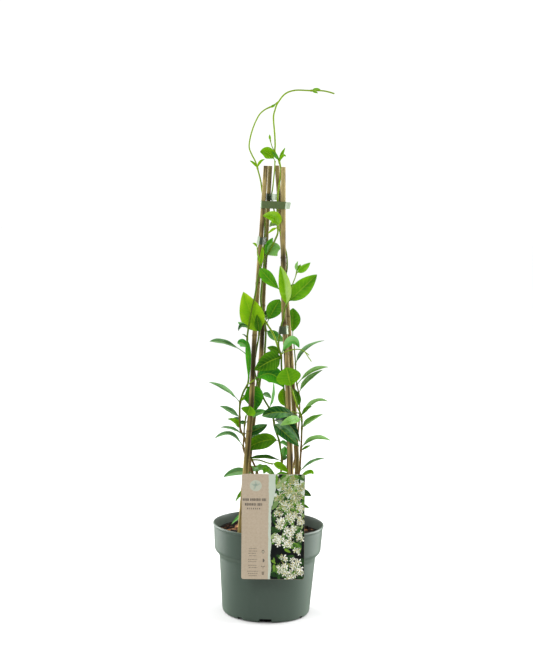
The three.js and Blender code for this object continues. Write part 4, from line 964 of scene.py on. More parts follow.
def makeCane(name, cane, paint):
    form, look = caneForm, caneLook
    line = caneLine(cane, form["step"])
    low, high = line[0].z, line[-1].z
    every, sides = form["ringsEvery"], form["sides"]
    stops = {low, high} | {low + k * every for k in range(int((high - low) / every))}
    for knot in cane["knots"]:
        stops |= {knot + step for step in form["knotRings"]}
    rings, ringValue, shade, pale = [], [], [], []
    roll = dice(int(high * 7 + low))
    phase = roll() * 9
    for z in sorted(stop for stop in stops if low <= stop <= high):
        near = min((z - knot for knot in cane["knots"]), key=abs)
        swell = form["swell"] * bell(near, form["swellReach"])
        swell -= form["groove"] * bell(near - form["grooveAt"], form["grooveReach"])
        middle, plain = caneAt(line, z), caneRadius(cane, z)
        # painted shade: a darker strip runs down the right of the front, and some stretches are shaded dark
        # all round
        stripHere = 0.42 + 0.9 * noise(Vector((z * 0.02, phase, 0)))
        stripHere *= 1 - 0.85 * ease(*look["stripTo"], z)
        fade = look["shadedFade"]
        shadeHere = max((ease(a - fade, a + fade, z) * ease(b + fade, b - fade, z)
                   for a, b in look["shadedStretches"][name]), default=0)
        ring = []
        for i in range(sides):
            angle = tau * i / sides
            x, y = cos(angle), sin(angle)
            radius = plain + swell + form["uneven"] * noise(Vector((x * 1.2, y * 1.2, z * 0.012 + phase)))
            strip = bell(x - 0.3, 0.33) * ease(0.2, -0.4, y) * stripHere
            mottled = 0.75 + 0.3 * noise(Vector((angle * 1.5, z * 0.05, 3)))
            shade.append(min(look["darkest"], max(0, strip + shadeHere * mottled)))
            ring.append(Vector((middle.x + radius * x, middle.y + radius * y, z)))
        rings.append(ring)
        ringValue += [bell(near - 0.7, 0.9)] * sides
        pale += [look["pale"][name] + look["bleached"] * ease(*look["bleachedFrom"], z)] * sides
    # the sawn top: a rim and the hollow inside it
    top, middle = caneRadius(cane, high), caneAt(line, high)
    for share, drop in form["sawn"]:
        rings.append(circle(sides, top * share, high - drop - 0.3, middle.x, middle.y))
        for values in (ringValue, shade, pale):
            values += [0.0] * sides
    sawn = len(form["sawn"])
    cut = [0.0] * (len(rings) - sawn) * sides + [1.0] * sawn * sides
    sketch = Sketch()
    sketch.rings(rings, 0, ring=ringValue, cut=cut, shade=shade, pale=pale)
    piece = sketch.build(f"{name}_fine", [paint], smooth=50)
    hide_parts(name)


caneSkin = canePaint(caneLook)
for caneName, caneShape in canes.items():
    makeCane(caneName, caneShape, caneSkin)
print("canes ready")


# the pot
potShape = {
    "sides": 128,
    # radius, height and corner size, from the middle of the underside over the rim to the inner floor
    "profile": [
        (0, 0, 0), (32, 0, 0.6), (34, 2, 0.8), (56, 2, 0.8), (58, 0, 0.6), (69.8, 0, 8.5),
        (77.1, 93.0, 4.0), (84.8, 101.5, 3.5), (87.3, 140.4, 0.8), (88.6, 141.4, 1.2), (88.6, 144.4, 1.4),
        (86.2, 145.0, 1.2), (85.4, 140, 2), (83.1, 103, 4.0), (75.2, 93.5, 2.0), (68.3, 4, 6), (0, 4, 0),
    ],
    # turn in degrees, width and height of each kind of drain notch, four of each
    "notches": [(0, 19, 6.5), (54, 9, 4.5)],
    "notchMiddle": 68, "notchDepth": 14, "notchBelow": 2,
    "sharpFrom": 35,
}
potLook = {
    "colour": (0.043, 0.066, 0.050), "pale": (0.056, 0.082, 0.063), "dusty": (0.15, 0.17, 0.14),
    "insideLight": (0.056, 0.079, 0.065), "hollowShade": (0.004, 0.005, 0.004),
    "insideFrom": (0.124, 0.0862), "hollowTo": (0.010, 0.0672),     # height and radius in metres
    "sheen": 0.2,          # brightens the sides, where the wall turns away
    "sheenTint": (0.82, 1.0, 0.80, 1), "sheenRoughness": 0.45,
}


def potPaint(look):
    p = Paint("potPlastic", 0.42, Sheen_Weight=look["sheen"], Sheen_Tint=look["sheenTint"],
              Sheen_Roughness=look["sheenRoughness"])
    cloudy = p.speckle(9, 3)
    fine = p.speckle(900, 2)
    base = p.blend(cloudy, look["colour"], look["pale"])
    scuffs = p.fade(p.speckle(60, 5, p.place((1, 1, 0.3))), 0.62, 0.78)
    base = p.blend(p.times(scuffs, 0.10), base, look["dusty"])
    # the wall's inside has painted light, as if lit by the soil's warm bounce, and the notches have painted
    # shade within
    x, y, z = p.split(p.place())
    radius = p.calc("SQRT", p.calc("ADD", p.calc("POWER", x, 2.0), p.calc("POWER", y, 2.0)))
    # painted light: the wall's inside above the soil is lighter
    height, within = look["insideFrom"]
    insideLight = p.times(p.calc("GREATER_THAN", z, height), p.calc("LESS_THAN", radius, within))
    base = p.blend(p.times(insideLight, 0.8), base, look["insideLight"])
    # painted shade: inside the notches and under the base it is near black
    height, within = look["hollowTo"]
    hollowShade = p.times(p.calc("LESS_THAN", z, height), p.calc("LESS_THAN", radius, within))
    p.colour(p.blend(hollowShade, base, look["hollowShade"]))
    p.dull(p.times(cloudy, 0.14, p.times(scuffs, 0.12, 0.36)))
    hoops = p.speckle(160, 2, p.place((0.02, 0.02, 1)))
    p.bump(p.times(hoops, 0.6, fine), 0.10, 0.0004)
    return p.material


def makePot(shape, paint):
    line = rounded(shape["profile"])
    points = [Vector((0, 0, line[0][1]))]
    for r, z in line[1:-1]:
        points += circle(shape["sides"], r, z)
    points.append(Vector((0, 0, line[-1][1])))
    sketch = Sketch()
    sketch.domed(points, shape["sides"])
    piece = sketch.build("pot_fine", [paint], smooth=shape["sharpFrom"])
    work = bmesh.new()
    below = shape["notchBelow"]
    for turn, width, height in shape["notches"]:
        for quarter in range(4):
            angle = radians(quarter * 90 + turn - 90)
            block = bmesh.ops.create_cube(work, size=1)["verts"]
            size = (shape["notchDepth"] * mm, width * mm, (height + below) * mm)
            bmesh.ops.scale(work, verts=block, vec=size)
            place = (shape["notchMiddle"] * mm, 0, (height - below) / 2 * mm)
            bmesh.ops.translate(work, verts=block, vec=place)
            bmesh.ops.rotate(work, verts=block, matrix=Matrix.Rotation(angle, 3, "Z"))
    mesh = bpy.data.meshes.new("notchCutters")
    work.to_mesh(mesh)
    work.free()
    cutter = intoScene("notchCutters", mesh)
    cut = piece.modifiers.new("notches", "BOOLEAN")
    cut.operation = "DIFFERENCE"
    cut.object = cutter
    cut.solver = "EXACT"
    bpy.context.view_layer.objects.active = piece
    bpy.ops.object.modifier_apply(modifier="notches")
    bpy.data.objects.remove(cutter)
    piece.data.set_sharp_from_angle(angle=radians(shape["sharpFrom"]))
    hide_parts("pot")


makePot(potShape, potPaint(potLook))
print("pot ready")


# potting mix and bark
soilShape = {
    "level": 125, "bottom": 4.3, "sides": 120, "rows": 34,
    # radius and height where the mix lies against the pot, up to its edge
    "walls": [(62.4, 4.3), (66.1, 5.7), (68.0, 9), (74.6, 90.4), (75.8, 95.9), (79.1, 99.8), (82.0, 103.5)],
    "edge": 83.7, "rise": 3.2,                 # how much higher the mix stands at the edge
    "rough": (1.3, 0.7),                       # height of the broad and of the fine unevenness
    # how many chips, their least and greatest length, width and thickness, and their tilt in degrees
    "chips": 26, "chipSize": ((9, 22), (5, 9), (3, 5)), "chipTilt": 9, "chipsWithin": 80,
    # small chips have their width as a share of the length
    "smallChips": 380, "smallSize": ((4, 18), (0.3, 0.7), (1.2, 3.4)), "smallTilt": 24, "smallWithin": 81.5,
    "chipLift": 0.4, "smallLift": 2.2,
}
soilLook = {
    "mix": [(0.35, (0.003, 0.002, 0.002)), (0.58, (0.012, 0.006, 0.004)), (0.75, (0.08, 0.036, 0.016))],
    "damp": (0.012, 0.006, 0.003),
    "bark": [(0.0, (0.006, 0.003, 0.002)), (0.5, (0.045, 0.018, 0.008)), (0.75, (0.22, 0.085, 0.032)),
             (1.0, (0.66, 0.30, 0.13))],
    "fibre": (0.016, 0.007, 0.004),
}


def soilTop(radius, angle):
    share = radius / 83
    ripple = 1.3 * sin(3 * angle + 0.7) + 0.9 * sin(5 * angle + 2)
    return soilShape["level"] + soilShape["rise"] * share ** 3 + ripple * share


def soilPaint(look):
    p = Paint("pottingMix", 0.95)
    grain = p.speckle(330, 5)
    patches = p.fade(p.speckle(60, 3), 0.4, 0.65)
    p.colour(p.blend(patches, p.ramp(grain, look["mix"]), look["damp"]))
    p.bump(grain, 0.9, 0.002)
    return p.material


def chipPaint(look):
    p = Paint("barkChip", 0.8)
    fibres = p.speckle(240, 4, p.place((1, 0.35, 1)))
    p.colour(p.blend(p.fade(fibres, 0.35, 0.7), p.ramp(p.value("tone"), look["bark"]), look["fibre"]))
    p.bump(fibres, 0.8, 0.0015)
    return p.material


def addChip(sketch, roll, place, size, tilt, root):
    # an irregular flake: eight rim points, rough upper face
    length, width, thick = size
    lean, dip, turn = (Matrix.Rotation(radians(angle), 3, axis) for angle, axis in zip(tilt, "XYZ"))
    turned = turn @ dip @ lean
    rim = [(-1, -0.6), (-0.6, -1), (0.55, -0.95), (1, -0.5), (1, 0.55), (0.6, 1), (-0.5, 0.95), (-1, 0.5)]
    jog = [mix(0.78, 1.06, roll()) for _ in rim]
    rings = []
    for level, share in ((-root, 0.9), (thick * 0.15, 1), (thick * 0.5, 0.86), (thick * 0.58, 0.4)):
        ring = []
        for (x, y), j in zip(rim, jog):
            z = level + (0.5 - roll()) * 0.12 * thick
            ring.append(place + turned @ Vector((x * j * share * length / 2, y * j * share * width / 2, z)))
        rings.append(ring)
    sketch.rings(rings, 0, tone=roll())


def makeSoil(shape, look):
    sides, rows = shape["sides"], shape["rows"]
    points = [Vector((0, 0, shape["bottom"]))]
    for r, z in shape["walls"]:
        points += circle(sides, r, z)
    broad, fine = shape["rough"]
    for k in range(rows):
        radius = shape["edge"] * (1 - k / rows)
        for i in range(sides):
            angle = tau * i / sides
            here = polar(radius, angle, 0)
            rough = broad * noise(here * 0.11) + fine * noise(here * 0.35)
            points.append(here + Vector((0, 0, soilTop(radius, angle) + (rough if k else 0))))
    points.append(Vector((0, 0, soilTop(0, 0))))
    sketch = Sketch()
    sketch.domed(points, sides)
    piece = sketch.build("soil_mix", [soilPaint(look)])
    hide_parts("soil")

    chips, roll = Sketch(), dice(411)

    def toss(length, within, lean):
        angle = tau * roll()
        radius = sqrt(roll()) * (within - length / 2)
        return angle, radius, [mix(-lean, lean, roll()), mix(-lean, lean, roll()), 360 * roll()]

    def onSoil(angle, radius, lift):
        return polar(radius, angle, soilTop(radius, angle) + lift)

    for _ in range(shape["chips"]):
        size = [mix(least, most, roll()) for least, most in shape["chipSize"]]
        angle, radius, tilt = toss(size[0], shape["chipsWithin"], shape["chipTilt"])
        place = onSoil(angle, radius, shape["chipLift"])
        addChip(chips, dice(int(radius * 1000) + 7), place, size, tilt, 3)
    lengths, shares, thicks = shape["smallSize"]
    for _ in range(shape["smallChips"]):
        length = mix(*lengths, roll() ** 1.5)
        size = (length, length * mix(*shares, roll()), mix(*thicks, roll()))
        angle, radius, tilt = toss(length, shape["smallWithin"], shape["smallTilt"])
        addChip(chips, roll, onSoil(angle, radius, mix(0, shape["smallLift"], roll())), size, tilt, 2)
    flakes = chips.build("bark_chips", [chipPaint(look)], smooth=25)


makeSoil(soilShape, soilLook)
print("soil ready")


# tape ties
ties = {
    "tie_top": {
        "around": ["cane_front_left", "cane_back_left", "cane_back_right", "cane_front_right"],
        "low": 646, "high": 657.4, "full": (-26.4, 40), "dark": 0.15,
    },
    "tie_top_back": {
        "around": ["cane_back_left", "stem_right_twiner"],
        "low": 658.4, "high": 669, "full": (-40, -11), "dark": 1.0,
    },
    "tie_left": {
        "around": ["cane_front_left", "stem_left_outer"],
        "low": 590, "high": 601, "full": (-28, 40), "dark": 0.85,
    },
    "tie_right": {
        "around": ["cane_front_right", "stem_right_twiner"],
        "low": 452, "high": 464, "full": (-40, 18.8), "dark": 0.8,
    },
}
# loose tape ends: points along the tail, then half its width
tails = {
    "tail_top": ([(9.6, 651.6, -11.5), (12.5, 651.4, -12), (15.5, 651.2, -12), (18.6, 651.0, -11)], 5.9),
    "tail_top_back": ([(-10.4, 663.6, 1.2), (-7.5, 663.8, 0.4), (-4.6, 664, 0), (-2.4, 664.2, 0)], 5.4),
    "tail_left": ([(-30.6, 588, -18.2), (-29.8, 595, -18.4), (-29.0, 602, -18.2)], 1.9),
    "tail_right": ([(18.2, 458, -31), (19.2, 458, -31.4), (20.4, 457.6, -31.4)], 5.2),
}
tieLook = {
    "colour": (0.064, 0.098, 0.028), "crease": (0.092, 0.130, 0.045), "dark": (0.026, 0.042, 0.022),
    "thinColour": (0.30, 0.38, 0.27),     # outside "full", where a single layer lets the light through
    "tail": (0.33, 0.43, 0.29), "tailCrease": (0.52, 0.61, 0.47), "tailAlpha": 0.85,
    "thick": 0.5, "slack": 0.6, "stemHalf": 1.9,
    "sides": 72, "steps": 6, "ruck": 0.5,
    "tailStep": 1.2, "tailHalf": 0.09, "tailNarrows": 0.12,
}


def tiePaint(look):
    p = Paint("tieTape", 0.32)
    creases = p.speckle(130, 3, p.place((1, 1, 0.3)))
    tape = p.blend(creases, look["colour"], look["crease"])
    tape = p.blend(p.value("dark"), tape, look["dark"])
    p.colour(p.blend(p.value("thin"), tape, look["thinColour"]))
    p.dull(p.times(creases, 0.2, 0.24))
    p.bump(creases, 0.5, 0.0012)
    return p.material


def tailPaint(look):
    p = Paint("tieTail", 0.3, Alpha=look["tailAlpha"])
    creases = p.speckle(150, 3)
    p.colour(p.blend(creases, look["tail"], look["tailCrease"]))
    p.bump(creases, 0.5, 0.001)
    return p.material


def heldAt(name, z):
    # where a cane or stem is at a height, and how thick
    if name in canes:
        here, radius = caneAt(caneLine(canes[name], caneForm["step"]), z), caneRadius(canes[name], z)
    else:
        here, radius = min(stemLines(plants[name])[0], key=lambda p: abs(p.z - z)), tieLook["stemHalf"]
    return here.x, here.y, radius


def makeTie(name, tie, paint):
    look = tieLook
    sides, steps = look["sides"], look["steps"]
    roll = dice(sum(map(ord, name)))
    phase = roll() * 20

    def ring(z, extra):
        # the band lies straight between what it holds: the points are where its edges cross
        held = [heldAt(one, z) for one in tie["around"]]
        edges = []
        for i in range(sides):
            way = (cos(tau * i / sides), sin(tau * i / sides))
            edges.append((way, max(x * way[0] + y * way[1] + r for x, y, r in held) + extra))
        points = []
        for i, (way, reach) in enumerate(edges):
            onward, further = edges[(i + 1) % sides]
            bottom = way[0] * onward[1] - way[1] * onward[0]
            x = (reach * onward[1] - further * way[1]) / bottom
            y = (way[0] * further - onward[0] * reach) / bottom
            ruck = look["ruck"] * noise(Vector((x * 0.35, y * 0.35, z * 0.25 + phase)))
            points.append(Vector((x + way[0] * ruck, y + way[1] * ruck, z + 0.9 * ruck)))
        return points

    heights = [mix(tie["low"], tie["high"], k / steps) for k in range(steps + 1)]
    rings = [ring(z, look["slack"] + look["thick"]) for z in heights]
    rings += [ring(z, look["slack"]) for z in reversed(heights)]
    left, right = tie["full"]
    thin = [1 - ease(left - 0.5, left + 0.5, p.x) * (1 - ease(right - 0.5, right + 0.5, p.x))
            for one in rings for p in one]
    sketch = Sketch()
    sketch.rings(rings, band=True, thin=thin, dark=tie["dark"])
    piece = sketch.build(f"{name}_band", [paint], smooth=60)
    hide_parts(name)


def makeTail(name, points, half, paint):
    look = tieLook
    line = through([spot(p) for p in points], look["tailStep"])
    rings = []
    for k, point in enumerate(line):
        ahead = aheadAt(line, k)
        wide = Vector((0.1, 0.35 * sin(k * 0.5), 1)) if abs(ahead.z) < 0.8 else Vector((1, 0.2, 0))
        share = 1 - look["tailNarrows"] * k / len(line)
        wide = (wide - ahead * wide.dot(ahead)).normalized() * half * share
        deep = ahead.cross(wide).normalized() * look["tailHalf"]
        rings.append([point + wide + deep, point - wide + deep, point - wide - deep, point + wide - deep])
    sketch = Sketch()
    sketch.rings(rings)
    piece = sketch.build(name, [paint])


tapePaint, thinTape = tiePaint(tieLook), tailPaint(tieLook)
for tieName, tieShape in ties.items():
    makeTie(tieName, tieShape, tapePaint)
for tailName, (tailPoints, tailHalf) in tails.items():
    makeTail(tailName, tailPoints, tailHalf, thinTape)
print("ties ready")


# label: a brown card with a torn strip of pale paper and a print of flowers
card = {
    "width": 97, "height": 165.4, "thick": 0.8, "corner": 3.5, "lowest": 77.2, "middle": 7.2,
    "front": -92.4, "turn": 1.3,
    "cornerSteps": 8,
    "stakeWidth": 20, "stakeThick": 1.2, "stakeDepth": -75, "stakeLowest": 101, "bridge": 150,
    "kraft": (0.325, 0.258, 0.172), "kraftCloud": (0.50, 0.42, 0.32), "torn": (0.38, 0.435, 0.357),
    "ink": (0.095, 0.082, 0.066), "seal": (0.35, 0.39, 0.315), "sealLeaf": (0.225, 0.28, 0.225),
}
# all places on the card are across and up from its middle
printed = {
    "kraftEdge": -7.0, "tornWidth": 3.6, "widerAtTop": 6.5, "widerFrom": (20, 60),
    # from, to, height and size of the rows that stand for words and for small print
    "words": [(-46.8, -11, 42.6, 4.4), (-43.5, -16.5, 35.2, 4.6), (-40, -19.5, 28.6, 3.1)],
    "smallPrint": [(-38, -25, -34.5), (-38, -24, -38.2), (-38, -26, -41.9), (-37, -25, -45.6),
                   (-39, -24, -51.5), (-39, -25, -55.0), (-39, -25, -60.8), (-38, -24, -64.4),
                   (-40, -22, -70.2), (-39, -23, -73.8), (-38, -24, -77.2)],
    "seal": (-27, 64.5, 9.2), "sealTurns": (0.5, 1.6, 2.7, 4.3),
    "rows": 90,                   # fineness of the torn edge
    # a drop, a half moon, a sprout and a pot below each other
    "signs": -15, "dropAt": -39.5, "moonAt": -53, "sproutAt": -62.5, "tubAt": -70.5,
    # bunches of flowers: across, up, spread, flowers, how dim and creamy
    "bunches": [
        (12, 68, 6, 5, 0.75), (30, 73, 7, 6, 0.85), (42, 62, 6, 6, 0.7), (22, 57, 8, 9, 0.65),
        (37, 47, 8, 10, 0.6), (9, 46, 6, 6, 0.7), (22, 35, 9, 11, 0.5), (42, 30, 6, 8, 0.4),
        (8, 24, 6, 6, 0.4), (29, 16, 8, 10, 0.25), (43, 9, 6, 7, 0.2), (11, 5, 7, 9, 0.15),
        (26, -7, 8, 9, 0.1), (7, -20, 7, 8, 0.05), (24, -26, 7, 7, 0.0), (42, -15, 6, 5, 0.1),
        (38, -36, 5, 3, 0.0), (16, -49, 5, 3, 0.0), (34, -57, 8, 8, 0.0), (14, -66, 8, 9, 0.1),
        (42, -70, 6, 7, 0.1), (27, -75, 8, 8, 0.15),
    ],
    "petals": 5, "flowerSize": (3.4, 5.9),
    "petalShape": ((0.06, -0.05), (0.45, -0.11), (0.82, -0.27), (1.0, -0.10), (0.93, 0.12), (0.62, 0.20),
                   (0.30, 0.12), (0.06, 0.06)),
    "mist": 40, "mistSize": ((4, 9), (3, 7)), "mistDownTo": 38,
    "leaves": 230, "leafSize": (3.5, 9), "leafSlim": 0.38, "farRight": 49,
    "clearing": (-46, -30),       # few leaves between these heights, where the dark ground shows
    # how far the layers lie in front of the card, from the ground to the flowers
    "lift": {"night": 0.05, "ink": 0.06, "torn": 0.07, "mist": 0.08, "sealLeaf": 0.09, "leaves": 0.13,
             "flowers": 0.26},
    # each ink runs between two colours, in flecks of some fineness
    "inks": {
        "Night": ((0.006, 0.008, 0.008), (0.022, 0.048, 0.016), 60),
        "Torn": (card["torn"], mixColour(card["torn"], (1, 1, 1), 0.25), 180),
        "Petal": ((0.71, 0.71, 0.63), (0.20, 0.23, 0.10), 300),
        "Heart": ((0.52, 0.40, 0.05), (0.30, 0.26, 0.04), 500),
        "LeafDark": ((0.010, 0.040, 0.008), (0.035, 0.11, 0.012), 150),
        "LeafLight": ((0.13, 0.25, 0.02), (0.045, 0.14, 0.012), 150),
        "LeafPale": ((0.24, 0.31, 0.13), (0.12, 0.20, 0.06), 150),
        "Bud": ((0.26, 0.25, 0.07), (0.42, 0.42, 0.20), 400),
        "Ink": (card["ink"], mixColour(card["ink"], card["kraft"], 0.5), 900),
        "Seal": (card["seal"], mixColour(card["seal"], card["kraft"], 0.7), 330),
        "SealLeaf": (card["sealLeaf"], card["seal"], 500),
    },
}


def swing(a, b, turn):
    return a * cos(turn) - b * sin(turn), a * sin(turn) + b * cos(turn)


def cardPlace(x, z, y):
    a, b = swing(x, z, radians(card["turn"]))
    return Vector((a + card["middle"], y, b + (card["lowest"] + card["height"] / 2)))


def flat(sketch, outline, slot, lift, **values):
    # a thin printed shape on the card's face; lift says how far in front of the card it lies
    front = [cardPlace(x, z, card["front"] - lift) for x, z in outline]
    back = [cardPlace(x, z, card["front"] + 0.1) for x, z in outline]
    count = len(outline)
    faces = [tuple(range(count))]
    faces += [(i, (i + 1) % count, count + (i + 1) % count, count + i) for i in range(count)]
    sketch.add(front + back, faces, slot, **values)


def flatBand(sketch, edgeA, edgeB, slot, lift):
    # the same between two long edges
    front, back = card["front"] - lift, card["front"] + 0.1
    a, b = [[cardPlace(x, z, front) for x, z in edge] for edge in (edgeA, edgeB)]
    c, d = [[cardPlace(x, z, back) for x, z in edge] for edge in (edgeA, edgeB)]
    n = len(a)
    faces = []
    for k in range(n - 1):
        faces.append((k, k + 1, n + k + 1, n + k))
        faces.append((2 * n + k, 3 * n + k, 3 * n + k + 1, 2 * n + k + 1))
        faces.append((k, 2 * n + k, 2 * n + k + 1, k + 1))
        faces.append((n + k, n + k + 1, 3 * n + k + 1, 3 * n + k))
    faces += [(0, n, 3 * n, 2 * n), (n - 1, 3 * n - 1, 4 * n - 1, 2 * n - 1)]
    sketch.add(a + b + c + d, faces, slot)


def oval(x, z, wide, high, turn=0.0, count=14, narrow=0.0):
    # narrow makes one end slimmer, as on a leaf
    shape = []
    for k in range(count):
        angle = tau * k / count
        across = cos(angle) * wide
        a, b = swing(across, sin(angle) * high * (1 - narrow * cos(angle)), turn)
        shape.append((x + a, z + b))
    return shape


def printPaint(name, colour, other, scale):
    # each printed shape's own shade runs from the first colour to the other
    p = Paint(name, 0.45, Specular_IOR_Level=0.25)
    flecks = p.speckle(scale, 4)
    p.colour(p.blend(p.clamp(p.vary(p.value("shade"), flecks, 0.7)), colour, other))
    p.dull(p.times(flecks, 0.1, 0.4))
    p.bump(flecks, 0.1, 0.0003)
    return p.material


def kraftPaint(colour, cloud):
    p = Paint("cardKraft", 0.6, Specular_IOR_Level=0.25)
    flecks = p.speckle(420, 4)
    # a faint pattern of diamonds
    x, _, z = p.split(p.place((420, 420, 420)))
    one, two = p.calc("SINE", p.calc("ADD", x, z)), p.calc("SINE", p.minus(x, z))
    diamonds = p.calc("GREATER_THAN", p.times(one, two), 0.55)
    base = p.blend(flecks, mixColour(colour, (0, 0, 0), 0.10), mixColour(colour, (1, 1, 1), 0.10))
    base = p.blend(p.times(p.speckle(60, 3), 0.12), base, cloud)
    p.colour(p.blend(p.times(diamonds, 0.10), base, mixColour(colour, (0, 0, 0), 0.35)))
    p.dull(p.times(flecks, 0.1, 0.55))
    p.bump(flecks, 0.12, 0.0003)
    return p.material


def makeCard(c):
    halfW, halfH, r = c["width"] / 2, c["height"] / 2, c["corner"]
    outline = []
    for sx, sz, start in ((1, 1, 0), (-1, 1, 90), (-1, -1, 180), (1, -1, 270)):
        for k in range(c["cornerSteps"] + 1):
            angle = radians(start + 90 * k / c["cornerSteps"])
            outline.append((sx * (halfW - r) + r * cos(angle), sz * (halfH - r) + r * sin(angle)))
    sketch = Sketch()
    sketch.rings([[cardPlace(x, z, y) for x, z in outline] for y in (c["front"], c["front"] + c["thick"])])
    centre = c["lowest"] + halfH
    halfS, rod = c["stakeWidth"] / 2, c["stakeThick"] / 2

    def bar(y0, y1, z0, z1):
        corners = ((-halfS, z0), (halfS, z0), (halfS, z1), (-halfS, z1))
        sketch.rings([[cardPlace(x, z - centre, y) for x, z in corners] for y in (y0, y1)])

    # the hook reaches back over the rim, and the stake goes down from it into the soil
    bar(c["front"] + c["thick"] / 2, c["stakeDepth"] + rod, c["bridge"], c["bridge"] + c["stakeThick"])
    bar(c["stakeDepth"] - rod, c["stakeDepth"] + rod, c["stakeLowest"], c["bridge"] + 1)
    piece = sketch.build("label_card", [kraftPaint(c["kraft"], c["kraftCloud"])])
    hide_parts("label")


def tornAt(z, seed):
    return 1.5 * noise(Vector((z * 0.055, seed, 0))) + 0.9 * noise(Vector((z * 0.3, seed, 4)))


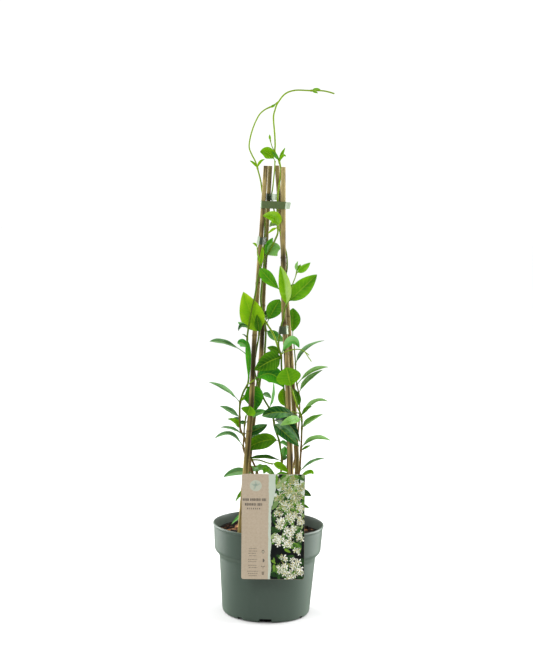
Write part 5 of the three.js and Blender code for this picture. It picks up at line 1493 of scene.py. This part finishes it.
def makePrint(look, c):
    halfW, halfH, r = c["width"] / 2, c["height"] / 2, c["corner"]
    night, torn, petal, heart, dark, light, pale, bud, ink, seal, sealLeaf = range(11)
    paints = [printPaint(f"print{name}", *given) for name, given in look["inks"].items()]
    art, roll = Sketch(), dice(77)
    rows = [halfH - 0.2 - k * (c["height"] - 0.4) / look["rows"] for k in range(look["rows"] + 1)]
    lifts, petals = look["lift"], look["petals"]

    def rightEnd(z):
        over = abs(z) - (halfH - r)
        return halfW - 0.12 - (0 if over <= 0 else r - sqrt(max(0, r * r - over * over)))

    def leftEnd(z):
        wider = look["widerAtTop"] * ease(*look["widerFrom"], z)
        return look["kraftEdge"] + look["tornWidth"] + wider + tornAt(z, 3)

    flatBand(art, [(leftEnd(z), z) for z in rows], [(rightEnd(z), z) for z in rows], night, lifts["night"])
    flatBand(art, [(look["kraftEdge"] + 0.7 * tornAt(z, 9), z) for z in rows],
             [(leftEnd(z) + 0.3, z) for z in rows], torn, lifts["torn"])

    def put(shape, slot, lift, shade):
        # nothing reaches past the picture's edges
        kept = []
        for x, z in shape:
            z = min(halfH - 0.5, max(-halfH + 0.5, z))
            kept.append((min(rightEnd(z) - 0.2, max(leftEnd(z), x)), z))
        flat(art, kept, slot, lift, shade=shade)

    # pale mist behind the topmost bunches, then leaves from the back to the front
    wide, high = look["mistSize"]
    for k in range(look["mist"]):
        x, z = mix(2, look["farRight"], roll()), mix(halfH, look["mistDownTo"], roll() ** 1.2)
        shape = oval(x, z, mix(*wide, roll()), mix(*high, roll()), roll() * 3)
        slot = torn if roll() < 0.6 else pale
        put(shape, slot, lifts["mist"] + 0.001 * k, roll())
    low, top = look["clearing"]
    for k in range(look["leaves"]):
        x, z = mix(0, look["farRight"], roll()), mix(halfH - 2, -halfH, (k * 0.618) % 1)
        high = ease(-50, 40, z)
        kind = roll()
        if kind < (0.85 if low < z < top else mix(0.3, 0.1, high)):
            continue
        slot = dark if kind < mix(0.8, 0.4, high) else light if kind < mix(1.0, 0.75, high) else pale
        size = mix(*look["leafSize"], roll())
        shape = oval(x, z, size, size * look["leafSlim"], roll() * tau, narrow=0.35)
        put(shape, slot, lifts["leaves"] + 0.0008 * k, roll())

    def flower(x, z, size, lift, dim):
        # seen at a slant: drawn round, then squashed along a line that leans
        spin, squash, lean = roll() * tau, mix(0.5, 1.0, roll()), roll() * pi
        for k in range(petals):
            turn = spin + k * tau / petals
            shade = dim + mix(-0.1, 0.7, roll() ** 1.5)
            shape = []
            for a, b in look["petalShape"]:
                a, b = swing(a, b, turn)
                u, v = swing(a * size, b * size, -lean)
                a, b = swing(u, v * squash, lean)
                shape.append((x + a, z + b))
            put(shape, petal, lift, shade)
        put(oval(x, z, size * 0.17, size * 0.15, count=8), heart, lift + 0.02, roll())

    lift = lifts["flowers"]
    for x, z, spread, count, dim in look["bunches"]:
        for k in range(count + 6):
            angle, far = roll() * tau, spread * mix(0.3, 1.15, roll())
            shape = oval(x + far * cos(angle), z + far * sin(angle), mix(1.5, 3.6, roll()),
                         mix(0.6, 1.3, roll()), roll() * 3, 8)
            slot = bud if roll() < 0.6 else light
            put(shape, slot, lift, roll())
        for k in range(count):
            angle, far = k * 2.4 + roll(), spread * sqrt((k + 0.3) / count)
            size = mix(*look["flowerSize"], roll())
            flower(x + far * cos(angle), z + 1.1 * far * sin(angle), size, lift + 0.004 * k, dim)
        lift += 0.008

    def bar(x0, x1, z, tall, shade):
        low, top = z - tall / 2, z + tall / 2
        flat(art, [(x0, low), (x1, low), (x1, top), (x0, top)], ink, lifts["ink"], shade=shade)

    # rows of plain marks in the place of words
    for start, end, z, tall in look["words"]:
        x = start
        gap = 0.13 if tall > 3.2 else 0.55
        while x < end:
            wide = tall * mix(0.30, 0.55, roll())
            bar(x, min(x + wide, end), z, tall * mix(0.8, 1.0, roll()), mix(0.0, 0.5, roll()))
            x += wide + tall * (gap if roll() < 0.88 else gap + 0.35)
    for start, end, z in look["smallPrint"]:
        x = start + mix(0, 1, roll())
        while x < end:
            wide = mix(0.8, 3.6, roll())
            bar(x, min(x + wide, end), z, 1.0, mix(0.35, 0.9, roll()))
            x += wide + 0.5
    x, z, radius = look["seal"]
    flat(art, oval(x, z, radius, radius * 0.95, count=40), seal, lifts["ink"], shade=0.3)
    for turn in look["sealTurns"]:
        leaf = oval(x + 4 * cos(turn), z + 3.6 * sin(turn), 3.6, 1.5, turn, narrow=0.4)
        flat(art, leaf, sealLeaf, lifts["sealLeaf"], shade=0.35)
    # the four signs
    x, z = look["signs"], look["dropAt"]
    turns = [tau * k / 24 for k in range(24)]
    drop = [(x + 2.7 * sin(a) * sin(a / 2), z - 3.3 * cos(a)) for a in turns]
    flat(art, drop, ink, lifts["ink"], shade=0.25)
    inner = [(x + 0.62 * (px - x), z - 0.5 + 0.62 * (pz - z + 0.5)) for px, pz in drop]
    flat(art, inner, seal, lifts["mist"], shade=1.0)
    turns = [pi * k / 12 for k in range(13)]
    moon = [(x - 0.5 + 2.9 * sin(a), look["moonAt"] - 2.9 * cos(a)) for a in turns]
    flat(art, moon, ink, lifts["ink"], shade=0.0)
    for side in (-1, 1):
        leaf = oval(x + side * 1.7, look["sproutAt"], 1.9, 0.8, side * 0.6, 12, 0.3)
        flat(art, leaf, ink, lifts["ink"], shade=0.7)
    bar(x - 0.3, x + 0.3, look["sproutAt"] - 2, 3.4, 0.7)
    top, low = look["tubAt"], look["tubAt"] - 5.5
    tub = [(x - 2.2, top), (x + 2.2, top), (x + 1.5, low), (x - 1.5, low)]
    flat(art, tub, ink, lifts["ink"], shade=0.75)
    piece = art.build("label_print", paints)


makeCard(card)
makePrint(printed, card)
print("label ready")
